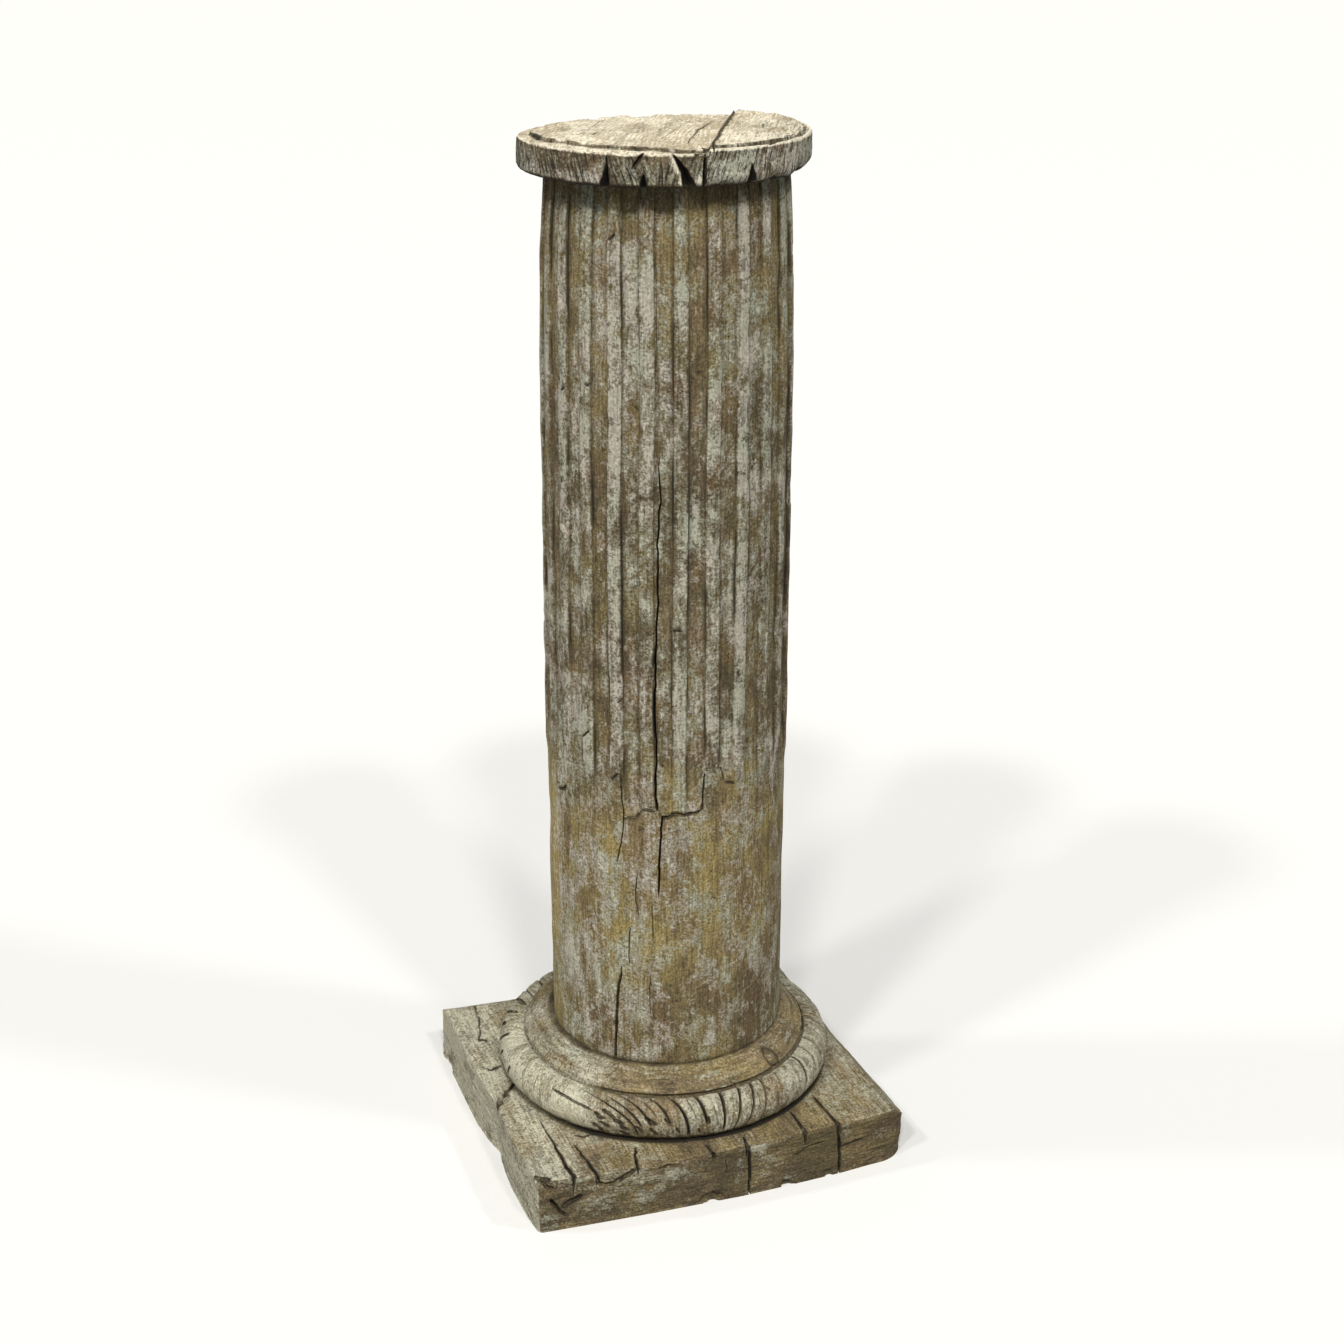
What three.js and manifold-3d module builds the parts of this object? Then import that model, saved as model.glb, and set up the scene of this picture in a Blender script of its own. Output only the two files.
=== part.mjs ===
// Worn wooden column: a square plinth, a base moulding with a slant-carved torus, a fluted shaft
// and a round cap.
// Millimetres, +Z up. The origin is on the ground, on the shaft's axis, and the plinth's front faces -Y.
// Angles in plan are in degrees from +X towards +Y, so that -90 is the middle of the front.
import * as THREE from 'three';
import { mergeVertices } from 'three/addons/utils/BufferGeometryUtils.js';
import Module from 'manifold-3d';

// Plinth: a block whose sides have worn out of true
const plinthSideMargin = 27;
const plinthFrontMargin = 5;
const plinthHeight = 62;
const frontBow = 12;
const frontSkew = 6;
const leftBow = 3;
const rightWaist = 8;
const backWaist = 12;
const wornCornerRadius = 34;
const plainCornerRadius = 6;
const plinthEdgeRound = 3.5;
const rightArris = { inset: 20, drop: 22 };
const backArris = { inset: 16, drop: 8 };

// Checks in the plinth's front, open at the front side and closing towards the middle
const frontChecks = [
  { x: -169, width: 4, reach: 118, depth: 24 },
  { x: -145, width: 4, reach: 62, depth: 15 },
  { x: -23, width: 3, reach: 30, depth: 8 },
  { x: 17, width: 4, reach: 34, depth: 66 },
  { x: 81, width: 3.5, reach: 62, depth: 18 },
  { x: 118, width: 4, reach: 78, depth: 66 },
];
const leftCheck = { y: -50, width: 5, reach: 42, depth: 20 };

// Base moulding: a torus under a sloping ring, with a groove where the two meet
const torusSectionRadius = 21.9;
const torusCentreHeight = 17.6;
const grooveInset = 6.1;
const ringWidth = 24.1;
const ringTopHeight = 60;
const ringLedge = 3;
const ringBulge = 3.5;
const torusCuts = 42;
const cutDepth = 2.6;
const cutSlant = 9;
const mouldingShift = { x: -2.5, y: 2 };

// Shaft
const shaftHeight = 897.5;
const shaftFootRadius = 123.8;
const shaftTaper = 2.4;
const neckIn = 6.2;
const fluteCount = 24;
const fluteShare = 0.58;
const fluteDepth = 4.3;
const fluteTurn = 0.8;
const fluteEndHeight = 292;
const fluteEndSway = 12;
const fluteRunOut = 4;
const plainStep = 2;

// Drying checks in the shaft: the angle each is at, how high it starts above the foot, and its size
const shaftChecks = [
  { angle: -115, foot: 290, length: 600, width: 2.4, depth: 9 },
  { angle: -113, foot: 200, length: 82, width: 2.2, depth: 9 },
  { angle: -134, foot: 3, length: 111, width: 2.6, depth: 10 },
  { angle: -131.5, foot: 221, length: 60, width: 1.8, depth: 7 },
];

// Cap: a round board with a raised panel, split right through and a little higher on the right of the split
const capOverhang = 22.8;
const capRim = 30.5;
const capPanelRise = 4;
const capPanelInset = 8;
const capUnderRound = 6;
const capUnderWear = 9;
const capWornSide = -20;
const capBackSag = 6;
const capSagSide = 100;
const capTopRound = 2.5;
const splitFromAxis = 54;
const splitTurn = 63;
const splitStep = 3.5;
const splitWidth = 3.5;
const splitDepth = 13;
const capShift = { x: -2.5, y: 1 };

// Notches that have broken out of the cap's rim, each open at the underside
const rimNotches = [
  { angle: -132.4, width: 10, height: 25, reach: 15, lean: 1 },
  { angle: -117.8, width: 3, height: 9, reach: 9, lean: 0 },
  { angle: -101.3, width: 8, height: 23, reach: 22, lean: -5 },
  { angle: -75.5, width: 9, height: 15, reach: 12, lean: -1 },
];

const colours = {
  plinth: 0x8d8266,
  moulding: 0x9a8f72,
  shaft: 0x8a8063,
  cap: 0xa89c7c,
};

// Sizes that follow from those above
const ringTopRadius = shaftFootRadius + ringLedge;
const grooveRadius = ringTopRadius + ringWidth;
const torusCentreRadius = grooveRadius + grooveInset;
const torusRadius = torusCentreRadius + torusSectionRadius;
const plinthHalfWidth = torusRadius + plinthSideMargin;
const plinthHalfDepth = torusRadius + plinthFrontMargin;
const capRadius = shaftFootRadius - shaftTaper - neckIn + capOverhang;

const wasm = await Module();
wasm.setup();
const { cos, sin, PI, sqrt, acos, asin, max } = Math;
const radians = THREE.MathUtils.degToRad;
const mergeDistance = 0.001;

function toSolid(geometry) {
  const bare = geometry.clone();
  bare.deleteAttribute('normal');
  bare.deleteAttribute('uv');
  const merged = mergeVertices(bare, mergeDistance);
  const corners = [];
  for (let i = 0; i < merged.index.count; i += 3) {
    const face = [0, 1, 2].map((k) => merged.index.getX(i + k));
    if (new Set(face).size === 3) corners.push(...face);
  }
  const vertProperties = new Float32Array(merged.attributes.position.array);
  const triVerts = new Uint32Array(corners);
  return new wasm.Manifold(new wasm.Mesh({ numProp: 3, vertProperties, triVerts }));
}

function toGeometry(solid) {
  const { vertProperties, triVerts } = solid.getMesh();
  const geometry = new THREE.BufferGeometry();
  geometry.setAttribute('position', new THREE.BufferAttribute(new Float32Array(vertProperties), 3));
  geometry.setIndex(new THREE.BufferAttribute(new Uint32Array(triVerts), 1));
  geometry.computeVertexNormals();
  return geometry;
}

function cut(solid, cutters) {
  return cutters.reduce((left, cutter) => left.subtract(toSolid(cutter)), solid);
}

// A turned form about Z. The place function gives the angle, radius and height of each point of each column.
function turned(profile, columns, place) {
  const geometry = new THREE.LatheGeometry(profile, columns);
  const position = geometry.attributes.position;
  for (let i = 0; i < position.count; i += 1) {
    const column = Math.floor(i / profile.length) % columns;
    const point = profile[i % profile.length];
    const { angle, radius, height } = place(column, point, i % profile.length);
    position.setXYZ(i, radius * cos(angle), radius * sin(angle), height);
  }
  return toSolid(geometry);
}

// A wedge that stands upright: its sharp edge is at the origin and it widens along +X
function wedge(length, width, height) {
  const outline = new THREE.Shape();
  outline.moveTo(0, 0);
  outline.lineTo(length, -width / 2);
  outline.lineTo(length, width / 2);
  outline.closePath();
  return new THREE.ExtrudeGeometry(outline, { depth: height, bevelEnabled: false });
}

// A notch seen from outside is a triangle standing on its base; it is cut inwards from the rim
function rimNotch({ angle, width, height, reach, lean }) {
  const outline = new THREE.Shape();
  const overlap = 1;
  outline.moveTo(-width / 2, -overlap);
  outline.lineTo(width / 2, -overlap);
  outline.lineTo(lean, height);
  outline.closePath();
  return new THREE.ExtrudeGeometry(outline, { depth: reach + overlap, bevelEnabled: false })
    .rotateX(PI / 2)
    .rotateZ(PI / 2)
    .translate(capRadius - reach, 0, 0)
    .rotateZ(radians(angle));
}

// The plan of the plinth: four bowed sides that meet in rounded corners
function plinthOutline() {
  const x = plinthHalfWidth;
  const y = plinthHalfDepth;
  const plain = plainCornerRadius;
  const worn = wornCornerRadius;
  const outline = new THREE.Shape();
  outline.moveTo(-x + plain, -y);
  outline.quadraticCurveTo(0, -y - 2 * frontBow - frontSkew / 2, x - worn, -y - frontSkew);
  outline.quadraticCurveTo(x, -y - frontSkew, x, -y - frontSkew + worn);
  outline.quadraticCurveTo(x - 2 * rightWaist, 0, x, y - plain);
  outline.quadraticCurveTo(x, y, x - plain, y);
  outline.quadraticCurveTo(0, y - 2 * backWaist, -x + plain, y);
  outline.quadraticCurveTo(-x, y, -x, y - plain);
  outline.quadraticCurveTo(-x - 2 * leftBow, 0, -x, -y + plain);
  outline.quadraticCurveTo(-x, -y, -x + plain, -y);
  return outline;
}

// What is worn off a straight top edge: a prism along Y whose sloping face cuts the edge off
function wornArris({ inset, drop }) {
  const span = 4 * plinthHalfWidth;
  const slope = new THREE.Vector2(inset, -drop);
  const outline = new THREE.Shape([
    new THREE.Vector2(-inset, 0).sub(slope),
    new THREE.Vector2(0, -drop).add(slope),
    new THREE.Vector2(2 * inset, 2 * drop),
  ]);
  return new THREE.ExtrudeGeometry(outline, { depth: span, bevelEnabled: false })
    .rotateX(PI / 2)
    .translate(0, span / 2, 0);
}

function plinthGeometry() {
  const block = new THREE.ExtrudeGeometry(plinthOutline(), {
    depth: plinthHeight - 2 * plinthEdgeRound,
    bevelThickness: plinthEdgeRound,
    bevelSize: plinthEdgeRound,
    bevelOffset: -plinthEdgeRound,
    bevelSegments: 3,
    curveSegments: 10,
  }).translate(0, 0, plinthEdgeRound);
  const spare = 2 * frontBow;
  const front = frontChecks.map(({ x, width, reach, depth }) => (
    wedge(reach + spare, width, depth + 2)
      .rotateZ(-PI / 2)
      .translate(x, reach - plinthHalfDepth, plinthHeight - depth)
  ));
  const left = wedge(leftCheck.reach + spare, leftCheck.width, leftCheck.depth + 2)
    .rotateZ(PI)
    .translate(leftCheck.reach - plinthHalfWidth, leftCheck.y, plinthHeight - leftCheck.depth);
  const rightEdge = wornArris(rightArris).translate(plinthHalfWidth, 0, plinthHeight);
  const backEdge = wornArris(backArris)
    .rotateZ(PI / 2)
    .translate(0, plinthHalfDepth, plinthHeight);
  return toGeometry(cut(toSolid(block), [rightEdge, backEdge, ...front, left]));
}

// The moulding's half section, from the axis under it, round the torus and the ring, back to the axis
function mouldingProfile(torusSteps, ringSteps) {
  const footAngle = -asin(torusCentreHeight / torusSectionRadius);
  const grooveAngle = acos(-grooveInset / torusSectionRadius);
  const points = [new THREE.Vector2(0, 0)];
  for (let i = 0; i <= torusSteps; i += 1) {
    const angle = footAngle + (grooveAngle - footAngle) * (i / torusSteps);
    const radius = torusCentreRadius + torusSectionRadius * cos(angle);
    points.push(new THREE.Vector2(radius, torusCentreHeight + torusSectionRadius * sin(angle)));
  }
  const groove = points[points.length - 1];
  const ringTop = new THREE.Vector2(ringTopRadius, ringTopHeight);
  const slope = ringTop.clone().sub(groove).normalize();
  const outwards = new THREE.Vector2(slope.y, -slope.x);
  for (let i = 1; i < ringSteps; i += 1) {
    const share = i / ringSteps;
    const swell = ringBulge * sin(PI * sqrt(share));
    points.push(groove.clone().lerp(ringTop, share).addScaledVector(outwards, swell));
  }
  points.push(ringTop, new THREE.Vector2(0, ringTopHeight));
  return points;
}

function mouldingGeometry() {
  const torusSteps = 8;
  const columnsPerCut = 4;
  const columns = torusCuts * columnsPerCut;
  const profile = mouldingProfile(torusSteps, 4);
  const centre = new THREE.Vector2(torusCentreRadius, torusCentreHeight);
  const solid = turned(profile, columns, (column, point, row) => {
    const along = THREE.MathUtils.clamp((torusSteps + 1 - row) / torusSteps, 0, 1);
    const onTorus = row > 1 && row <= torusSteps;
    const inCut = onTorus && column % columnsPerCut === 0;
    const inwards = centre.clone().sub(point).normalize();
    const place = point.clone().addScaledVector(inwards, inCut ? cutDepth : 0);
    const angle = 2 * PI * (column / columns) + radians(cutSlant) * along;
    return { angle, radius: place.x, height: place.y };
  });
  return toGeometry(solid);
}

function shaftRadius(height) {
  const share = height / shaftHeight;
  return shaftFootRadius - shaftTaper * share ** 3 - neckIn * share ** 12;
}

function shaftGeometry() {
  const filletSteps = 3;
  const fluteSteps = 4;
  const columnsPerFlute = filletSteps + fluteSteps;
  const columns = fluteCount * columnsPerFlute;
  const pitch = (2 * PI) / fluteCount;
  const fluteAngle = pitch * fluteShare;
  const filletAngle = pitch - fluteAngle;
  const fluteTop = fluteEndHeight + fluteRunOut;
  const heights = [0, fluteEndHeight, fluteTop];
  for (const share of [0.35, 0.65, 0.85, 0.94, 1]) {
    heights.push(fluteTop + (shaftHeight - fluteTop) * share);
  }
  const profile = [
    new THREE.Vector2(0, 0),
    ...heights.map((height) => new THREE.Vector2(shaftRadius(height), height)),
    new THREE.Vector2(0, shaftHeight),
  ];
  const solid = turned(profile, columns, (column, point) => {
    const step = column % columnsPerFlute;
    const start = pitch * Math.floor(column / columnsPerFlute) + radians(fluteTurn) - filletAngle / 2;
    const inFlute = step > filletSteps;
    const across = inFlute ? (step - filletSteps) / fluteSteps : step / filletSteps;
    const angle = start + (inFlute ? filletAngle + fluteAngle * across : filletAngle * across);
    const hollow = inFlute ? fluteDepth * sqrt(1 - (2 * across - 1) ** 2) : 0;
    if (point.x === 0) return { angle, radius: 0, height: point.y };
    const fluted = point.y >= fluteTop;
    const atFluteEnd = point.y > 0 && point.y <= fluteTop;
    const sway = atFluteEnd ? fluteEndSway * sin(5 * angle) : 0;
    return { angle, radius: point.x - (fluted ? hollow : plainStep), height: point.y + sway };
  });
  const spare = 3;
  const checks = shaftChecks.map(({ angle, foot, length, width, depth }) => (
    wedge(depth + spare, width, length)
      .translate(shaftFootRadius - depth, 0, foot)
      .rotateZ(radians(angle))
  ));
  return toGeometry(cut(solid, checks));
}

// The whole round board with its top raised by the extra height. One side of its lower edge is worn
// rounder, and the lower of the two tops sags towards the back.
function capBody(extra) {
  const points = [new THREE.Vector2(0, 0)];
  const roundSteps = 3;
  for (let i = 0; i <= roundSteps; i += 1) {
    const angle = -PI / 2 + (PI / 2) * (i / roundSteps);
    const radius = capRadius - capUnderRound + capUnderRound * cos(angle);
    points.push(new THREE.Vector2(radius, capUnderRound + capUnderRound * sin(angle)));
  }
  const panelRadius = capRadius - capPanelInset;
  points.push(new THREE.Vector2(capRadius, capRim + extra - capTopRound));
  points.push(new THREE.Vector2(capRadius - capTopRound, capRim + extra));
  points.push(new THREE.Vector2(panelRadius, capRim + extra));
  points.push(new THREE.Vector2(panelRadius - capTopRound, capRim + extra + capPanelRise));
  points.push(new THREE.Vector2(0, capRim + extra + capPanelRise));
  const columns = 72;
  return turned(points, columns, (column, point, row) => {
    const angle = 2 * PI * (column / columns);
    const wear = 1 + (capUnderWear / capUnderRound) * max(0, cos(angle - radians(capWornSide)));
    if (row > 0 && row <= roundSteps + 1) {
      return { angle, radius: capRadius - (capRadius - point.x) * wear, height: point.y * wear };
    }
    const towardsSag = max(0, cos(angle - radians(capSagSide))) * (point.x / capRadius);
    const sag = extra > 0 || row === 0 ? 0 : capBackSag * towardsSag;
    return { angle, radius: point.x, height: point.y - sag };
  });
}

function capGeometry() {
  const span = 4 * capRadius;
  const rightSide = new THREE.BoxGeometry(span, span, span)
    .translate(span / 2 + splitFromAxis, 0, 0)
    .rotateZ(radians(splitTurn - 90));
  const raised = capBody(splitStep).intersect(toSolid(rightSide));
  const top = capRim + capPanelRise;
  const split = wedge(splitDepth, splitWidth, span)
    .rotateY(-PI / 2)
    .rotateZ(PI / 2)
    .translate(splitFromAxis, span / 2, top - splitDepth + splitStep)
    .rotateZ(radians(splitTurn - 90));
  return toGeometry(cut(capBody(0).add(raised), [split, ...rimNotches.map(rimNotch)]));
}

function piece(name, geometry, colour, place) {
  const material = new THREE.MeshStandardMaterial({ color: colour, roughness: 0.88, metalness: 0 });
  const mesh = new THREE.Mesh(geometry, material);
  mesh.name = name;
  mesh.position.set(place.x, place.y, place.z);
  return mesh;
}

const mouldingFoot = plinthHeight;
const shaftFoot = mouldingFoot + ringTopHeight;
const capFoot = shaftFoot + shaftHeight;

const woodenColumn = new THREE.Group();
woodenColumn.add(
  piece('plinth', plinthGeometry(), colours.plinth, { x: 0, y: 0, z: 0 }),
  piece('base_moulding', mouldingGeometry(), colours.moulding, { ...mouldingShift, z: mouldingFoot }),
  piece('shaft', shaftGeometry(), colours.shaft, { x: 0, y: 0, z: shaftFoot }),
  piece('cap', capGeometry(), colours.cap, { ...capShift, z: capFoot }),
);

export default woodenColumn;
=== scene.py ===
import math
from functools import partial

import bpy
import numpy as np
from mathutils import Matrix, Vector


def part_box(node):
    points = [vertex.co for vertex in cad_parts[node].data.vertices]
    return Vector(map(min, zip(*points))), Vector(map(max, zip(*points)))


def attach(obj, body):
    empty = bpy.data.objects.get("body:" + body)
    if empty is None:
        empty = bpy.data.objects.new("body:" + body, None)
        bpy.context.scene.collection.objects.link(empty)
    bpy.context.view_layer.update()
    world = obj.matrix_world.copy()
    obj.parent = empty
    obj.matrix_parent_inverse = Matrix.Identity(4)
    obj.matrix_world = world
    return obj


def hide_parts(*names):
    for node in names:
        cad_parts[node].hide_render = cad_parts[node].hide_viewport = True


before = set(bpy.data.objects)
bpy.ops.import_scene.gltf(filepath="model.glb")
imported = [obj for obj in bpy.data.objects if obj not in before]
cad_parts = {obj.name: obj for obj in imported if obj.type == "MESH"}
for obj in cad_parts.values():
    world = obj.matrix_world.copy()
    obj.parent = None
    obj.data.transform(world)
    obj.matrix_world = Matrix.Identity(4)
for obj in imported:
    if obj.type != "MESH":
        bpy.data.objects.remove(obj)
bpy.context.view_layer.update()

mm = 0.001
degree = math.pi / 180
upward, forward = (0, 0, 1), (0, -1, 0)


# Small helpers for picking, reading and moving points

def pickNothing():
    if bpy.context.mode != "OBJECT":
        bpy.ops.object.mode_set(mode="OBJECT")
    bpy.ops.object.select_all(action="DESELECT")


def makeActive(piece):
    pickNothing()
    piece.select_set(True)
    bpy.context.view_layer.objects.active = piece


def readPoints(piece):
    flat = np.empty(len(piece.data.vertices) * 3, np.float32)
    piece.data.vertices.foreach_get("co", flat)
    return flat.reshape(-1, 3).astype(float)


def readNormals(piece):
    flat = np.empty(len(piece.data.vertices) * 3, np.float32)
    piece.data.vertices.foreach_get("normal", flat)
    return flat.reshape(-1, 3)


def writePoints(piece, places):
    piece.data.vertices.foreach_set("co", places.astype(np.float32).ravel())
    piece.data.update()


def selectEdgesAlong(piece, axis):
    places = readPoints(piece)
    ends = np.empty(len(piece.data.edges) * 2, np.int32)
    piece.data.edges.foreach_get("vertices", ends)
    ends = ends.reshape(-1, 2)
    span = np.abs(places[ends[:, 0]] - places[ends[:, 1]])
    chosen = span[:, axis] > 0.999 * np.linalg.norm(span, axis=1)
    bpy.context.tool_settings.mesh_select_mode = (False, True, False)
    piece.data.vertices.foreach_set("select", np.zeros(len(places), bool))
    piece.data.polygons.foreach_set("select", np.zeros(len(piece.data.polygons), bool))
    piece.data.edges.foreach_set("select", chosen)


def subdivideAlong(piece, axis, *parts):
    for count in parts:    # one subdivide makes 100 cuts at most, so a fine grid takes two
        makeActive(piece)
        selectEdgesAlong(piece, axis)
        bpy.ops.object.mode_set(mode="EDIT")
        bpy.ops.mesh.subdivide(number_cuts=count - 1)
        bpy.ops.object.mode_set(mode="OBJECT")


def latticeValue(x, y, z, seed):
    mixed = (x * 73856093) ^ (y * 19349663) ^ (z * 83492791) ^ (seed * 49979687)
    mixed = ((mixed ^ (mixed >> 13)) * 1274126177) & 0xffffffff
    return ((mixed ^ (mixed >> 16)) & 0xffff) / 32767.5 - 1.0


def smoothNoise(places, cell, seed=1, octaves=1):
    # from about -1 to 1; cell is the size of its lumps along x, y and z
    spots = np.asarray(places, float) / np.asarray(cell, float)
    total, strength = 0.0, 1.0
    for octave in range(octaves):
        whole = np.floor(spots).astype(np.int64)
        part = spots - whole
        part = part * part * (3 - 2 * part)
        value = 0.0
        for corner in range(8):
            step = np.array([corner & 1, corner >> 1 & 1, corner >> 2 & 1])
            weight = np.where(step, part, 1 - part).prod(axis=1)
            value = value + weight * latticeValue(*(whole + step).T, seed + 7 * octave)
        total = total + value * strength
        strength *= 0.5
        spots = spots * 2.03 + 17.1
    return total


def ramp(value, low, high):
    share = np.clip((value - low) / (high - low), 0, 1)
    return share * share * (3 - 2 * share)


def onCircle(angle, radius, height):
    # angles in degrees; -90 is the middle of the front
    angle = np.asarray(angle, float) * degree
    flat = np.broadcast_arrays(radius * np.cos(angle), radius * np.sin(angle), height)
    return np.stack(flat, axis=-1)


def polar(places):
    return np.degrees(np.arctan2(places[:, 1], places[:, 0])), np.hypot(places[:, 0], places[:, 1])


def angleGap(angle, centre):
    return (angle - centre + 180) % 360 - 180


def nearAngle(angle, centre, wide, tight):
    # 1 within the tight angle of this centre, 0 beyond the wide one
    return ramp(-np.abs(angleGap(angle, centre)), -wide, -tight)


def roundSpot(across, up):
    # 1 in the middle of a soft spot that reaches to about 1 each way
    return np.exp(-across ** 2 - up ** 2)


def turnedBlank(name, node, columns, *rowParts):
    # an upright cylinder on the node's box with rows of points up its side, and each point's row and column
    low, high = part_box(node)
    pickNothing()
    bpy.ops.mesh.primitive_cylinder_add(
        vertices=columns, radius=(high.x - low.x) / 2, depth=high.z - low.z,
        location=(0, 0, (low.z + high.z) / 2))
    piece = bpy.context.object
    piece.name = piece.data.name = name
    bpy.ops.object.transform_apply(location=True, rotation=True, scale=True)
    subdivideAlong(piece, 2, *rowParts)
    places = readPoints(piece)
    angle = polar(places)[0]
    rows = math.prod(rowParts)
    row = np.rint((places[:, 2] - low.z) / (high.z - low.z) * rows).astype(int)
    column = np.rint(angle * columns / 360).astype(int) % columns
    return piece, row, column, rows


# Checks and splits: a wedge along a route on the surface, cut out of the piece

def crack(width, depth, *route, **more):
    # a row of the tables below: width and depth in mm, then the marks it runs through
    return {"width": width, "depth": depth, "route": route, **more}


def refineRoute(route, count, wander, seed):
    route = np.asarray(route, float)
    steps = np.linalg.norm(np.diff(route, axis=0), axis=1)
    along = np.concatenate([[0], np.cumsum(steps)])
    fine = np.linspace(0, along[-1], count)
    smooth = np.stack([np.interp(fine, along, route[:, i]) for i in range(3)], axis=1)
    sway = np.stack([smoothNoise(smooth, 7 * mm, seed + i, 2) for i in range(3)], axis=1)
    fade = np.minimum(1, np.minimum(fine, along[-1] - fine) / (8 * mm))[:, None]
    return smooth + sway * wander * fade


def taper(width, count, ends):
    # half the width along a split, closing towards its ends
    share = np.linspace(0, 1, count)
    swell = np.minimum(1, np.minimum(share / 0.12 + ends[0], (1 - share) / 0.12 + ends[1]))
    return np.broadcast_to(width, count) / 2 * swell, swell


def splitCutter(route, outward, width, depth, floor=0.12, over=2.5 * mm, ends=(0.05, 0.05)):
    count = len(route)
    outward = np.broadcast_to(outward, (count, 3))
    pickNothing()
    bpy.ops.mesh.primitive_cube_add(size=1, location=(0, 0, 0))
    cutter = bpy.context.object
    subdivideAlong(cutter, 2, count - 1)
    shape = readPoints(cutter)
    level = np.rint((shape[:, 2] + 0.5) * (count - 1)).astype(int)
    side = np.sign(shape[:, 0])
    deep = shape[:, 1] > 0
    halfWidth, swell = taper(width, count, ends)
    along = np.gradient(route, axis=0)
    along /= np.linalg.norm(along, axis=1)[:, None] + 1e-12
    sideways = np.cross(along, outward)
    sideways /= np.linalg.norm(sideways, axis=1)[:, None] + 1e-12
    reach = np.broadcast_to(depth, count) * (0.35 + 0.65 * swell)
    half = halfWidth[level] * np.where(deep, floor, 1 + over / reach[level] * (1 - floor))
    lift = np.where(deep, -reach[level], over)
    places = route[level] + outward[level] * lift[:, None] + sideways[level] * (side * half)[:, None]
    writePoints(cutter, places)
    makeActive(cutter)
    bpy.ops.object.mode_set(mode="EDIT")
    bpy.ops.mesh.select_all(action="SELECT")
    bpy.ops.mesh.normals_make_consistent(inside=False)
    bpy.ops.object.mode_set(mode="OBJECT")
    return cutter


def makeSplit(entry, route, outward, width, depth, ends=(0.05, 0.05), **more):
    # the cutter for one route, which is kept with its half widths for the painted shade and dirt inside
    entry.setdefault("made", []).append((route, taper(width, len(route), ends)[0]))
    return splitCutter(route, outward, width, depth, ends=ends, **more)


def cutAway(piece, cutters):
    # the cutters of one call don't touch each other, so they go as one mesh
    makeActive(cutters[0])
    for cutter in cutters[1:]:
        cutter.select_set(True)
    bpy.ops.object.join()
    makeActive(piece)
    cut = piece.modifiers.new("cut", "BOOLEAN")
    cut.operation = "DIFFERENCE"
    cut.solver = "MANIFOLD"
    cut.object = cutters[0]
    bpy.ops.object.modifier_apply(modifier=cut.name)
    mesh = cutters[0].data
    bpy.data.objects.remove(cutters[0])
    bpy.data.meshes.remove(mesh)


def splitDark(places, route, half, soft):
    # 1 inside a split of these half widths, 0 a little beyond its sides; it paints shade and dirt into the
    # splits
    limit = 12 * mm
    low, high = route.min(axis=0) - limit, route.max(axis=0) + limit
    near = np.flatnonzero(((places > low) & (places < high)).all(axis=1))
    found = np.zeros(len(places))
    if not len(near):
        return found
    spots = places[near]
    best = np.full(len(near), limit)
    for start, end, first, last in zip(route[:-1], route[1:], half[:-1], half[1:]):
        way = end - start
        share = np.clip((spots - start) @ way / max(way @ way, 1e-12), 0, 1)
        gap = np.linalg.norm(spots - start - share[:, None] * way, axis=1)
        best = np.minimum(best, gap - first - share * (last - first))
    found[near] = 1 - ramp(best, -0.15 * mm, soft)
    return found


def splitsDark(places, entries, soft=0.9 * mm):
    dark = np.zeros(len(places))
    for entry in entries:
        for route, half in entry["made"]:
            dark = np.maximum(dark, splitDark(places, route, half, soft))
    return dark


def finishPiece(piece, node, material, masks, grain):
    # the masks and the grain's own coordinates go on the points, for the material to read
    makeActive(piece)
    for name, values in masks.items():
        spot = piece.data.attributes.new(name, "FLOAT", "POINT")
        values = np.broadcast_to(values, len(piece.data.vertices))
        spot.data.foreach_set("value", values.astype(np.float32))
    spot = piece.data.attributes.new("grain", "FLOAT_VECTOR", "POINT")
    spot.data.foreach_set("vector", grain.astype(np.float32).ravel())
    piece.data.materials.clear()
    piece.data.materials.append(material)
    piece.data.polygons.foreach_set("material_index", np.zeros(len(piece.data.polygons), np.int32))
    bpy.ops.object.shade_smooth_by_angle(angle=38 * degree)
    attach(piece, "root")
    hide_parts(node)
    triangles = sum(len(face.vertices) - 2 for face in piece.data.polygons)
    print(f"{piece.name}: {len(piece.data.vertices)} points, {triangles} triangles")


# Materials

def socket(group, name, kind, way="INPUT", value=None):
    made = group.interface.new_socket(name=name, in_out=way, socket_type=kind)
    if value is not None:
        made.default_value = value
    return made


def addNode(tree, kind, **settings):
    node = tree.nodes.new(kind)
    for name, value in settings.items():
        setattr(node, name, value)
    return node


def feed(tree, target, source):
    if isinstance(source, bpy.types.NodeSocket):
        tree.links.new(source, target)
    else:
        target.default_value = source


def calculate(tree, operation, first, second=0.5, clamp=False):
    node = addNode(tree, "ShaderNodeMath", operation=operation, use_clamp=clamp)
    feed(tree, node.inputs[0], first)
    feed(tree, node.inputs[1], second)
    return node.outputs[0]


def speckle(tree, vector, scale, detail, rough):
    node = addNode(tree, "ShaderNodeTexNoise")
    feed(tree, node.inputs["Vector"], vector)
    feed(tree, node.inputs["Scale"], scale)
    node.inputs["Detail"].default_value = detail
    node.inputs["Roughness"].default_value = rough
    return node.outputs["Fac"]


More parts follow.
